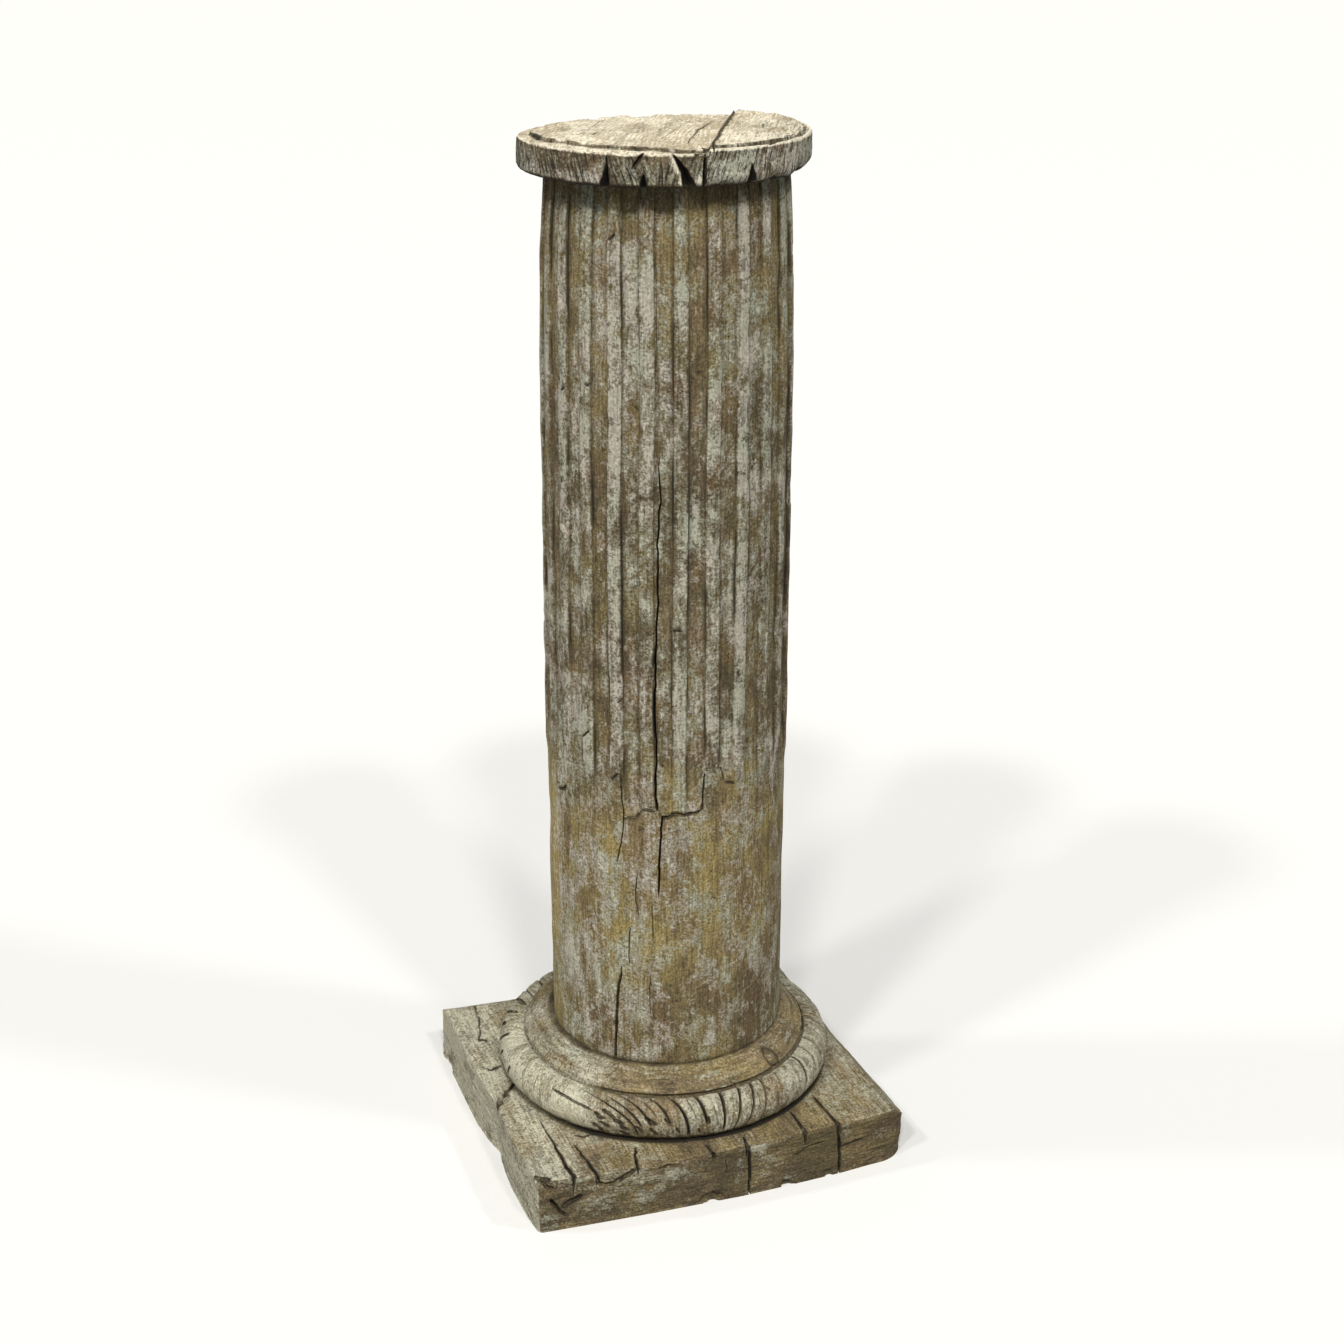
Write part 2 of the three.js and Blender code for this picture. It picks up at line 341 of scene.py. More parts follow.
def stretch(tree, value, low, high, to=(0.0, 1.0)):
    node = addNode(tree, "ShaderNodeMapRange", interpolation_type="SMOOTHSTEP")
    feed(tree, node.inputs["Value"], value)
    for name, number in zip(("From Min", "From Max", "To Min", "To Max"), (low, high, *to)):
        feed(tree, node.inputs[name], number)
    return node.outputs[0]


def blendColours(tree, share, first, second, how="MIX"):
    node = addNode(tree, "ShaderNodeMix", data_type="RGBA", blend_type=how)
    feed(tree, node.inputs[0], share)
    feed(tree, node.inputs[6], first)
    feed(tree, node.inputs[7], second)
    return node.outputs[2]


woodColours = {    # linear colours that the four pieces share
    "Dark Wood": (0.098, 0.076, 0.046, 1),
    "Light Wood": (0.225, 0.172, 0.098, 1),
    "Pale Wood": (0.490, 0.415, 0.275, 1),
    "Stain": (0.305, 0.236, 0.092, 1),
    "Rust": (0.190, 0.120, 0.060, 1),
    "Wash": (0.386, 0.390, 0.306, 1),
    "Warm Wash": (0.432, 0.400, 0.334, 1),
    "Pale Wash": (0.760, 0.690, 0.535, 1),
    # the darkest colour serves both for dirt and for painted shade in recesses
    "Dirt And Shade": (0.014, 0.013, 0.010, 1),
}

woodValues = {     # a middling value of what each piece sets for itself
    "Wash Amount": 0.0, "Proud Pull": 0.1, "Streak Pull": 0.3, "Patch Pull": 0.8, "Flake Pull": 0.9,
    "Patch Scale": 34.0, "Streak Scale": 110.0, "Stain Amount": 0.3, "Film": 0.5, "Thick": 0.5,
    "Open Grain": 0.25,
}

woodMasks = {      # the attributes of the points, and the inputs that they go to
    # recess: dirt and painted shade in cuts, creases, corners and under overhangs
    "recess": "Recess", "proud": "Proud", "wash": "Wash More", "tone": "Tone", "pale": "Pale",
    "stain": "Stain More", "calm": "Calm",
}


def makeWashGroup():
    # bare wood in several hues, a worn wash that clings in patches and flakes, and dirt with painted shade in
    # what is cut in
    group = bpy.data.node_groups.new("worn whitewash on wood", "ShaderNodeTree")
    socket(group, "Grain", "NodeSocketVector")
    socket(group, "Place", "NodeSocketVector")
    for name, value in {**dict.fromkeys(woodMasks.values(), 0.0), **woodValues}.items():
        socket(group, name, "NodeSocketFloat", value=value)
    for name in woodColours:
        socket(group, name, "NodeSocketColor")
    socket(group, "Color", "NodeSocketColor", "OUTPUT")
    socket(group, "Roughness", "NodeSocketFloat", "OUTPUT")
    socket(group, "Height", "NodeSocketFloat", "OUTPUT")
    given = addNode(group, "NodeGroupInput").outputs
    result = addNode(group, "NodeGroupOutput")
    times, plus, minus = (partial(calculate, group, way) for way in ("MULTIPLY", "ADD", "SUBTRACT"))
    blend, between, noise = (partial(make, group) for make in (blendColours, stretch, speckle))

    grain, place = given["Grain"], given["Place"]
    soft = addNode(group, "ShaderNodeMix", data_type="VECTOR")    # drawn out along the grain, but less
    soft.inputs[0].default_value = 0.35
    feed(group, soft.inputs[4], place)
    feed(group, soft.inputs[5], grain)
    soft = soft.outputs[1]
    away = addNode(group, "ShaderNodeVectorMath", operation="ADD")
    feed(group, away.inputs[0], soft)
    away.inputs[1].default_value = (3.1, 5.7, 1.3)
    away = away.outputs[0]
    broad = noise(soft, 17.0, 3, 0.55)
    patch = noise(soft, given["Patch Scale"], 7, 0.68)
    flake = noise(place, 150.0, 5, 0.64)
    streak = noise(grain, given["Streak Scale"], 4, 0.6)
    crumb = noise(place, 420.0, 4, 0.72)
    fine = noise(grain, 560.0, 3, 0.62)
    tone = noise(soft, 46.0, 5, 0.62)
    hue = noise(away, 24.0, 6, 0.64)
    curl = noise(place, 64.0, 5, 0.66)

    # the wood, darker and lighter, olive and rusty in places, with open grain
    lightness = plus(between(tone, 0.38, 0.62), given["Tone"], clamp=True)
    wood = blend(lightness, given["Dark Wood"], given["Light Wood"])
    rusty = times(between(hue, 0.50, 0.60), 0.42)
    wood = blend(rusty, wood, given["Rust"])
    olive = times(between(broad, 0.45, 0.60), given["Stain Amount"])
    more = times(between(hue, 0.58, 0.40, (0.25, 1.0)), given["Stain More"])
    olive = plus(olive, more, clamp=True)
    wood = blend(olive, wood, given["Stain"])
    veryPale = times(given["Pale"], 0.85)
    wood = blend(veryPale, wood, given["Pale Wood"])
    wood = blend(1.0, wood, between(fine, 0.34, 0.62, (0.70, 1.16)), "MULTIPLY")
    evener = times(given["Pale"], 0.6)
    crumbShade = blend(evener, between(crumb, 0.34, 0.66, (0.58, 1.42)), (1, 1, 1, 1))
    wood = blend(1.0, wood, crumbShade, "MULTIPLY")

    # how far the wash still covers it
    pull = plus(given["Wash Amount"], given["Wash More"])
    calmer = minus(1.0, times(given["Calm"], 0.62))
    flaking = times(given["Flake Pull"], calmer)
    for value, weight in ((broad, 0.5), (patch, given["Patch Pull"]), (flake, flaking),
                          (streak, given["Streak Pull"]), (crumb, 0.52), (fine, 0.10)):
        pull = plus(pull, times(minus(value), weight))
    pull = plus(pull, times(given["Proud"], given["Proud Pull"]))
    pull = minus(pull, times(given["Recess"], 0.25))
    film = between(pull, -0.08, 0.05)
    thick = between(pull, 0.072, 0.098)
    rim = times(between(pull, 0.03, 0.07), minus(1.0, thick))

    wash = blend(between(hue, 0.44, 0.56), given["Wash"], given["Warm Wash"])
    wash = blend(given["Pale"], wash, given["Pale Wash"])
    wash = blend(1.0, wash, between(fine, 0.33, 0.6, (0.84, 1.06)), "MULTIPLY")
    crumbShade = blend(evener, between(crumb, 0.35, 0.64, (0.70, 1.28)), (1, 1, 1, 1))
    wash = blend(1.0, wash, crumbShade, "MULTIPLY")
    colour = blend(times(film, given["Film"]), wood, wash)
    colour = blend(times(rim, 0.16), colour, given["Dirt And Shade"])
    flaked = blend(1.0, wash, (1.14, 1.14, 1.16, 1), "MULTIPLY")
    colour = blend(times(thick, given["Thick"]), colour, flaked)
    thread = calculate(group, "ABSOLUTE", minus(curl))
    thread = times(between(thread, 0.034, 0.014), between(flake, 0.46, 0.50))
    thread = times(times(thread, between(tone, 0.47, 0.53)), given["Calm"])
    colour = blend(times(thread, 0.85), colour, flaked)
    pits = times(between(flake, 0.40, 0.33), between(patch, 0.60, 0.46))
    pits = times(pits, minus(0.62, times(given["Pale"], 0.4)))
    colour = blend(pits, colour, given["Dirt And Shade"])
    lines = times(between(streak, 0.47, 0.37), given["Open Grain"])
    lines = times(lines, minus(1.0, given["Pale"]))
    colour = blend(times(lines, 0.75), colour, given["Dirt And Shade"])
    # painted shade with dirt: the recess mask darkens splits, cuts, creases and corners where shade falls
    shadeAndGrime = times(given["Recess"], between(crumb, 0.25, 0.5, (0.8, 1.0)), clamp=True)
    colour = blend(shadeAndGrime, colour, given["Dirt And Shade"])
    feed(group, result.inputs["Color"], colour)

    feed(group, result.inputs["Roughness"], plus(0.76, times(film, 0.16)))
    height = plus(times(film, 0.25), times(thick, 0.5))
    height = plus(height, times(fine, 0.7))
    height = plus(height, times(crumb, 0.9))
    height = minus(height, lines)
    feed(group, result.inputs["Height"], times(height, minus(1.0, veryPale)))
    return group


washGroup = makeWashGroup()


def washedWood(name, values, bumpDistance=0.0011):
    material = bpy.data.materials.new(name)
    material.use_nodes = True
    tree = material.node_tree
    shader = tree.nodes["Principled BSDF"]
    shader.inputs["Specular IOR Level"].default_value = 0.25
    shader.inputs["Metallic"].default_value = 0.0
    worn = addNode(tree, "ShaderNodeGroup", node_tree=washGroup)
    for key, value in {**woodColours, **values}.items():
        worn.inputs[key].default_value = value
    tree.links.new(addNode(tree, "ShaderNodeTexCoord").outputs["Object"], worn.inputs["Place"])
    for name, target in {"grain": "Grain", **woodMasks}.items():
        reader = addNode(tree, "ShaderNodeAttribute", attribute_name=name)
        tree.links.new(reader.outputs["Vector" if name == "grain" else "Fac"], worn.inputs[target])
    tree.links.new(worn.outputs["Color"], shader.inputs["Base Color"])
    tree.links.new(worn.outputs["Roughness"], shader.inputs["Roughness"])
    bump = addNode(tree, "ShaderNodeBump")
    bump.inputs["Strength"].default_value = 0.75
    bump.inputs["Distance"].default_value = bumpDistance
    tree.links.new(worn.outputs["Height"], bump.inputs["Height"])
    tree.links.new(bump.outputs["Normal"], shader.inputs["Normal"])
    return material


print("materials: the worn whitewash group is ready")


# Shaft: 24 flutes that end at about a third of its height, with flakes at their ends and long checks

shaftForm = {
    "flutes": 24,
    "filletColumns": 8,
    "fluteColumns": 12,
    "turn": 0.8,              # degrees from +X to the middle of a fillet
    "filletWidth": 6.3,       # degrees
    "depth": 4.0 * mm,
    "taper": 2.4 * mm,
    "neckIn": 6.2 * mm,
    "plainStep": 2.0 * mm,
    "grainStretch": 17,
    "rowShares": [0, 0.07, 0.26, 0.52, 0.55, 1],
    "rowHeights": [0.390, 0.464, 0.478],
    "sway": 0.45,             # degrees
    "hollowEdge": 0.24,       # how much shallower a flute is at its edges
    "roundEdge": 0.7 * mm,
    "edgeWear": 0.22,         # degrees
    "raggedBy": 2.2 * mm,
    # painted shade under the cap's overhang: how far below the top it starts and where it is full
    "shadeUnderCap": (26 * mm, 14 * mm),
    # painted shade and dirt where the shaft stands on the ring
    "shadeAndDirtAtFoot": (1 * mm, 4.5 * mm),
    # where the fluted skin ends: angle, height above the floor, and how sharp its edge is
    "ends": [
        (-178, 0.430, 0.2), (-172, 0.409, 1), (-163.5, 0.411, 1), (-163, 0.440, 0.2), (-150, 0.436, 0.2),
        (-149.5, 0.420, 0.5), (-130.3, 0.428, 0.3), (-130, 0.401, 1), (-125, 0.402, 1), (-122, 0.410, 1),
        (-118.6, 0.414, 1), (-115.1, 0.415, 1), (-112.4, 0.405, 1), (-109.4, 0.406, 1), (-107.5, 0.410, 1),
        (-100.6, 0.409, 1), (-93.4, 0.411, 1), (-93.2, 0.453, 0.8), (-86.4, 0.455, 0.8), (-86.2, 0.436, 0.8),
        (-78.2, 0.435, 0.8), (-78, 0.425, 0.3), (-63, 0.417, 0.2), (-48, 0.428, 0.2), (-33, 0.420, 0.3),
        (0, 0.412, 0.2), (30, 0.431, 0.3), (62, 0.418, 0.2), (95, 0.427, 0.3), (130, 0.410, 0.2),
        (160, 0.424, 0.3),
    ],
}

# Checks: width and depth in mm, the route as (angle, height in m), and how far in mm it wanders
shaftChecks = [
    crack(1.5, 5, (-115.3, 1.010), (-115.4, 0.967), (-114.4, 0.836), (-114.0, 0.787), wander=0.5),
    crack(3.0, 12, (-113.7, 0.787), (-113.3, 0.732), (-114.5, 0.688), (-114.2, 0.632), (-115.1, 0.600),
          (-115.7, 0.529), (-115.5, 0.497), (-114.9, 0.474), (-115.6, 0.444), (-114.8, 0.4114), wander=0.9,
          ends=(0.05, 0.8)),
    crack(3.0, 10, (-112.3, 0.405), (-113.0, 0.382), (-113.6, 0.356), (-113.8, 0.334), (-114.0, 0.313),
          wander=0.4, ends=(0.8, 0.05)),
    crack(2.4, 7, (-131.8, 0.4475), (-131.8, 0.422), (-130.5, 0.410), (-130.6, 0.399), (-131.7, 0.378),
          (-134.0, 0.351), (-134.4, 0.343), wander=0.5),
    crack(2.0, 6, (-123.9, 0.344), (-124.9, 0.325), (-125.1, 0.310), (-123.9, 0.3005), (-123.5, 0.286),
          wander=0.5),
    crack(1.8, 5, (-117.0, 0.309), (-116.8, 0.292), (-116.6, 0.266), wander=0.4),
    crack(2.1, 6, (-127.3, 0.2824), (-128.4, 0.263), (-128.6, 0.232), wander=0.5),
    crack(3.6, 11, (-132.0, 0.2345), (-133.2, 0.218), (-134.6, 0.198), (-135.1, 0.166), (-135.8, 0.1235),
          wander=0.6, ends=(0.05, 0.9)),
    crack(1.8, 5, (-117.8, 0.229), (-118.3, 0.2115), (-118.0, 0.178), wander=0.4),
    crack(2.4, 6, (-56.1, 0.3236), (-56.7, 0.2935), (-56.6, 0.266), wander=0.3),
    crack(3.4, 7, (-93.6, 0.4125), (-93.0, 0.427), (-92.3, 0.4495), wander=0.5, ends=(0.8, 0.6)),
    crack(1.8, 6, (-84.6, 0.560), (-84.4, 0.500), (-84.5, 0.460), wander=0.3, ends=(0.05, 0.4)),
    crack(2.8, 6, (-84.3, 0.4535), (-83.4, 0.447), (-83.0, 0.4385), wander=0.3, ends=(0.5, 0.5)),
    crack(4.0, 9, (-69.9, 1.017), (-69.6, 0.990), (-69.2, 0.962), wander=0.3, ends=(0.8, 0.05)),
    crack(1.6, 4, (-127.4, 0.585), (-127.6, 0.560), (-128.0, 0.545), wander=0.3),
    crack(1.8, 4, (-126.9, 0.543), (-126.9, 0.480), wander=0.3),
    crack(1.5, 4, (-143.0, 0.640), (-142.6, 0.590), wander=0.4),
    crack(1.5, 4, (-98.4, 0.700), (-98.0, 0.655), (-98.6, 0.630), wander=0.4),
    crack(2.2, 8, (38, 0.760), (39, 0.640), (38.4, 0.520), (39.2, 0.400), wander=0.7),
    crack(2.4, 8, (121, 0.330), (120, 0.240), (121, 0.140), wander=0.6, ends=(0.05, 0.6)),
    crack(1.8, 6, (-12, 0.900), (-11.4, 0.780), (-12.2, 0.680), wander=0.5),
]

# Short cuts across the grain, and the undercut lower edges of the flakes, which throw a dark line
shaftLedges = [
    crack(3.4, 6, (-113.2, 0.4062), (-111, 0.4039), (-108.6, 0.4052), (-107.1, 0.4082), (-101.5, 0.4069),
          (-93.9, 0.4101)),
    crack(2.6, 5, (-121.3, 0.4112), (-118.5, 0.4119), (-115.9, 0.411)),
    crack(1.0, 3, (-130.0, 0.4052), (-127.6, 0.4030), (-124.6, 0.4048), (-122.6, 0.4098)),
    crack(2.8, 5, (-173.9, 0.4052), (-167.6, 0.4092), (-164.4, 0.4175)),
    crack(1.4, 3, (-164.5, 0.4095), (-161.2, 0.3996)),
    crack(2.0, 4, (-92.0, 0.4513), (-89.4, 0.4494), (-87.7, 0.4497), (-84.8, 0.4562)),
    crack(2.8, 6, (-81.6, 0.4354), (-76.7, 0.4326)),
    crack(2.8, 5, (-110.4, 0.600), (-107.4, 0.6005), (-103.4, 0.602)),
    crack(1.6, 4, (-133.4, 0.524), (-130.2, 0.527), (-127.2, 0.528)),
    crack(2.2, 4.5, (-152.6, 0.4776), (-150.2, 0.4830), (-147.8, 0.4885)),
    crack(2.2, 4.5, (-136.3, 0.4412), (-134.6, 0.4440), (-132.8, 0.4489)),
    crack(1.1, 3, (-114.6, 0.4765), (-111.5, 0.4745), (-108.6, 0.4775), (-108.3, 0.4886),
          (-107.5, 0.4957)),
    crack(2.0, 4, (-148.8, 0.8355), (-147.2, 0.833), (-145.6, 0.836), (-145.3, 0.852)),
    crack(2.2, 4, (-136.8, 0.970), (-135.2, 0.971), (-133.6, 0.976)),
    crack(1.7, 3.5, (-164.6, 0.823), (-162.0, 0.826)),
    crack(1.3, 3, (-119.2, 0.601), (-117.2, 0.597), (-115.9, 0.599)),
    crack(2.2, 4, (20, 0.411), (27, 0.409), (33, 0.412)),
    crack(2.0, 3, (100, 0.500), (107, 0.502)),
]


def shaftRadiusAt(height, low, high, footRadius):
    share = (height - low) / (high - low)
    return footRadius - shaftForm["taper"] * share ** 3 - shaftForm["neckIn"] * share ** 12


def shaftRoute(entry, low, high, footRadius, count):
    marks = np.array(entry["route"])
    places = onCircle(marks[:, 0], shaftRadiusAt(marks[:, 1], low, high, footRadius), marks[:, 1])
    wander = entry.get("wander", 0.4) * mm
    route = refineRoute(places, count, wander, seed=int(abs(marks[0, 0]) * 10) + int(marks[0, 1] * 1000))
    angle, radius = polar(route)
    return route, onCircle(angle, 1.0, 0.0)


def swayOf(number, z):
    # how far, in degrees, each fillet wanders from its even place
    code = np.stack([number % shaftForm["flutes"] * 3.0, 0 * z, z], 1)
    return smoothNoise(code, (1, 1, 0.12), 5) * shaftForm["sway"]


def makeShaft():
    form = shaftForm
    perFlute = form["filletColumns"] + form["fluteColumns"]
    columns = form["flutes"] * perFlute
    shaft, row, column, rows = turnedBlank("flutedShaft", "shaft", columns, 12, 16)
    lowCorner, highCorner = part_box("shaft")
    low, high = lowCorner.z, highCorner.z
    footRadius = (highCorner.x - lowCorner.x) / 2

    # rows stand closer where the flutes end
    heights = [low, low + 0.05, *form["rowHeights"], high]
    z = np.interp(np.arange(rows + 1) / rows, form["rowShares"], heights)[row]

    # columns: a fillet's, then a flute's, with a steep wall between them
    pitch = 360 / form["flutes"]
    half = form["filletWidth"] / 2
    fillet = np.linspace(-half, half, form["filletColumns"])
    wall = 0.32
    flute = np.linspace(half + wall, pitch - half - wall, form["fluteColumns"])
    steps = np.concatenate([fillet, flute])
    step, number = column % perFlute, column // perFlute
    base = form["turn"] + pitch * number
    spot = onCircle(base + steps[step], footRadius, z)
    across = np.clip((steps[step] - half) / (pitch - 2 * half), 0, 1)
    unevenness = swayOf(number, z) * (1 - across) + swayOf(number + 1, z) * across
    edgeWear = smoothNoise(spot, (6 * mm, 6 * mm, 14 * mm), 9, 2) * form["edgeWear"]
    onFillet = step < form["filletColumns"]
    atEdge = (step == 0) | (step == form["filletColumns"] - 1)
    angle = base + steps[step] + unevenness + np.where(atEdge, edgeWear, 0)

    # the skin that carries the flutes, and how deep they are
    marks = np.array(form["ends"])
    order = (angle + 180) % 360 - 180
    end = np.interp(order, marks[:, 0], marks[:, 1])
    sharp = np.interp(order, marks[:, 0], marks[:, 2])
    ragged = smoothNoise(spot, (5 * mm, 5 * mm, 900 * mm), 3, 2) * form["raggedBy"]
    fade = 1.6 * mm + (1 - sharp) * 34 * mm
    skin = ramp(z, end + ragged, end + ragged + fade)
    hollow = np.where(onFillet, 0, 1 - form["hollowEdge"] * np.abs(2 * across - 1) ** 3)
    scoop = (1 - sharp) * (2 * across - 1) ** 2 * 16 * mm    # the soft ends are rounded like a spoon
    start = end + scoop
    deepen = ramp(z, start + 4 * mm, start + 60 * mm) * 0.66 + 0.34 * ramp(z, start, start + 12 * mm)
    carved = 1 + 0.22 * smoothNoise(np.stack([number * 1.0, z * 0, z], 1), (1, 1, 0.09), 11, 2)
    depth = form["depth"] * hollow * deepen * carved

    # wear: rounded and knocked-off fillets, dents, and ridges along the grain
    knocked = ramp(smoothNoise(spot, (9 * mm, 9 * mm, 26 * mm), 21, 2), 0.42, 0.8) * 2.6 * mm
    roundEdge = np.where(onFillet, (np.abs(steps[step]) / half) ** 4, 0) * form["roundEdge"]
    dents = smoothNoise(spot, 60 * mm, 31, 2) * 0.7 * mm
    lumps = smoothNoise(spot, (11 * mm, 11 * mm, 24 * mm), 41, 2) * 0.32 * mm
    ridges = smoothNoise(spot, (3.2 * mm, 3.2 * mm, 60 * mm), 51, 2) * 0.34 * mm
    radius = shaftRadiusAt(z, low, high, footRadius)
    radius = radius - form["plainStep"] * (1 - skin) - depth * skin
    radius = radius - np.where(onFillet, knocked + roundEdge, knocked * 0.25) * skin
    inside = (row > 0) & (row < rows)
    radius = radius + np.where(inside, dents - np.abs(dents) * 0.3 + lumps + ridges, -0.3 * mm)
    writePoints(shaft, onCircle(angle, radius, z))

    cutters = []
    for entry in shaftChecks:
        route, outward = shaftRoute(entry, low, high, footRadius, 46)
        cutters.append(makeSplit(entry, route, outward, entry["width"] * mm, entry["depth"] * mm,
                                 entry.get("ends", (0.05, 0.05)), over=4 * mm))
    cutAway(shaft, cutters)
    cutters = []
    for entry in shaftLedges:
        route, outward = shaftRoute(entry, low, high, footRadius - 1 * mm, 16)
        tilted = outward + np.array([0, 0, -0.75])    # undercut: deeper inside is higher
        tilted /= np.linalg.norm(tilted, axis=1)[:, None]
        cutters.append(makeSplit(entry, route, tilted, entry["width"] * mm, entry["depth"] * mm, (0.3, 0.3)))
    cutAway(shaft, cutters)
    print("shaft: flutes, flakes and checks cut")

    places = readPoints(shaft)
    z = places[:, 2]
    angle, radius = polar(places)
    outer = shaftRadiusAt(z, low, high, footRadius)
    sunk = outer - radius
    number = np.round((angle - form["turn"]) / pitch)
    gap = angle - form["turn"] - pitch * number - swayOf(number, z)
    fromFillet = np.abs(gap)
    band = 2 * number + np.sign(gap) * (fromFillet > half + 0.1)    # fillets even, flutes odd
    bandCode = np.stack([band % (2 * form["flutes"]) * 3.0, 0 * gap, z], 1)
    bandTone = smoothNoise(bandCode, (1, 1, 0.10), 201, 2)
    bandWash = smoothNoise(bandCode, (1, 1, 0.07), 203, 2)
    end = np.interp(angle, marks[:, 0], marks[:, 1])
    skin = ramp(z, end, end + 30 * mm)
    # dark lines at the flute walls: partly dirt, partly painted shade; the wider soft dark beside them inside
    # the flutes is painted shade
    corner = np.exp(-((fromFillet - half - 0.38) / 0.32) ** 2)
    beside = np.exp(-((fromFillet - half - 0.9) / 1.0) ** 2) * (fromFillet > half)
    edgeNumber = np.round(fromFillet / 6) + number % form["flutes"] * 6 + 3 * (gap > 0)
    edgeCode = np.stack([edgeNumber, 0 * gap, z], 1)
    edgeDark = 0.5 + 0.5 * smoothNoise(edgeCode, (1, 1, 0.045), 207, 2)
    recess = corner * skin * (0.22 + 0.78 * ramp(edgeDark, 0.40, 0.80)) * 0.95
    recess = np.maximum(recess, beside * skin * (0.12 + 0.30 * ramp(edgeDark, 0.3, 0.9)))
    # painted shade with dirt where the surface lies deepest and inside the checks and flake ledges
    recess = np.maximum(recess, ramp(sunk, 5.4 * mm, 7.5 * mm))
    recess = np.maximum(recess, splitsDark(places, shaftChecks + shaftLedges))
    # painted shade and dirt at the foot of the shaft, where it meets the ring
    footDark = 0.55 + 0.45 * smoothNoise(places, 16 * mm, 93, 2)
    recess = np.maximum(recess, (1 - ramp(z - low, *form["shadeAndDirtAtFoot"])) * footDark)
    # painted shade under the cap's overhang, darker towards the top of the shaft
    capShade = ramp(z, *(high - down for down in form["shadeUnderCap"]))
    recess = np.maximum(recess, capShade * 0.45)
    proud = np.where(fromFillet < half, 1.0, 0.12) * skin + 0.42 * (1 - skin)
    grain = places / np.array([1, 1, form["grainStretch"]])
    # the left limb is painted paler and yellower: partly the wood's own colour, partly painted light from the
    # left
    leftSide = nearAngle(angle, 172, 24, 4)
    lowDark = 1 - ramp(z - low, 60 * mm, 150 * mm)
    upper = ramp(z, 0.76, 0.94)
    edge = 0.425 + 0.045 * smoothNoise(places, (30 * mm, 30 * mm, 70 * mm), 97, 3)
    plainHere = 1 - ramp(z, edge - 60 * mm, edge + 60 * mm)
    raggedEnd = z + 26 * mm * smoothNoise(places, 16 * mm, 99, 3)
    softSkin = ramp(raggedEnd, end - 12 * mm, end + 60 * mm)
    masks = {
        "recess": recess,
        "proud": proud,
        "wash": (-0.055 * plainHere - 0.05 * leftSide * plainHere
                 + softSkin * (0.08 * bandWash - 0.045 * (fromFillet > half + 0.1) + 0.015)),
        "tone": (0.30 * plainHere * (1 - lowDark) + 0.5 * leftSide - 0.25 * lowDark
                 + (1 - plainHere) * (0.28 * bandTone - 0.2) + 0.45 * upper),
        "pale": 0.42 * leftSide * (1 - lowDark) * plainHere,
        "stain": (plainHere * (0.95 * (1 - lowDark) + 0.35 * lowDark + 0.6 * leftSide)
                  + (1 - plainHere) * (0.15 + 0.30 * upper)),
        "calm": plainHere,
    }
    finishPiece(shaft, "shaft", shaftWood, masks, grain)


shaftWood = washedWood("shaft wood", {
    "Wash Amount": 0.0, "Proud Pull": 0.04, "Streak Pull": 0.34, "Patch Pull": 0.92, "Flake Pull": 0.70,
    "Patch Scale": 46.0, "Streak Scale": 130.0, "Stain Amount": 0.30, "Film": 0.52, "Thick": 0.66,
    "Pale Wood": (0.520, 0.420, 0.190, 1),
})
makeShaft()


# Base moulding: a torus carved with slanting cuts under a sloping ring

mouldingForm = {
    "knot": (-58.5, 3.0, 47 * mm, 6.5 * mm),    # angle, width in degrees, height and half height
    "shift": np.array([-2.5, 2.0, 0.0]) * mm,
    "centreRadius": 157.0 * mm,    # of the torus's own round section
    "centreHeight": 17.6 * mm,
    "sectionRadius": 21.9 * mm,
    "footAngle": -53.4,            # degrees round the section
    "grooveAngle": 106.2,
    "ringTopRadius": 126.8 * mm,
    "ringBulge": 3.5 * mm,
    "underShaft": 118.0 * mm,
    "shaftFoot": 0.1228,
    "rows": (60, 32, 4),           # torus, ring, and the flat that the shaft stands on
    "columnsPerCut": 14,
    # each cut: its angle at the groove and at the foot, its depth in mm, and the shares of that way
    # where it starts and ends
    "cuts": [
        (-163, -152, 0.3, 0.1, 0.7), (-158, -135, 0.0, 0, 1), (-154, -118.5, 3.2, 0, 0.80),
        (-140, -116.5, 2.6, 0.18, 0.62), (-129.5, -113.5, 2.8, 0.05, 0.60), (-123, -110.5, 1.3, 0.0, 0.40),
        (-117, -107.2, 2.6, 0.03, 0.58), (-108.4, -101.7, 3.6, 0, 0.85), (-103, -98.4, 0.7, 0.1, 0.5),
        (-98, -95, 3.8, 0, 0.62), (-93, -91.8, 1.0, 0.1, 0.7), (-88.2, -90, 3.2, 0, 0.8),
        (-83.6, -88, 0.8, 0.2, 0.8), (-80, -86.5, 2.6, 0, 0.9), (-74.3, -81.5, 2.2, 0, 0.85),
        (-69.5, -75.5, 1.8, 0, 0.9), (-62, -68.5, 0.7, 0.1, 0.8), (-55, -60.5, 0.6, 0.1, 0.8),
        (-48, -53.8, 2.8, 0, 0.9),
    ],
}

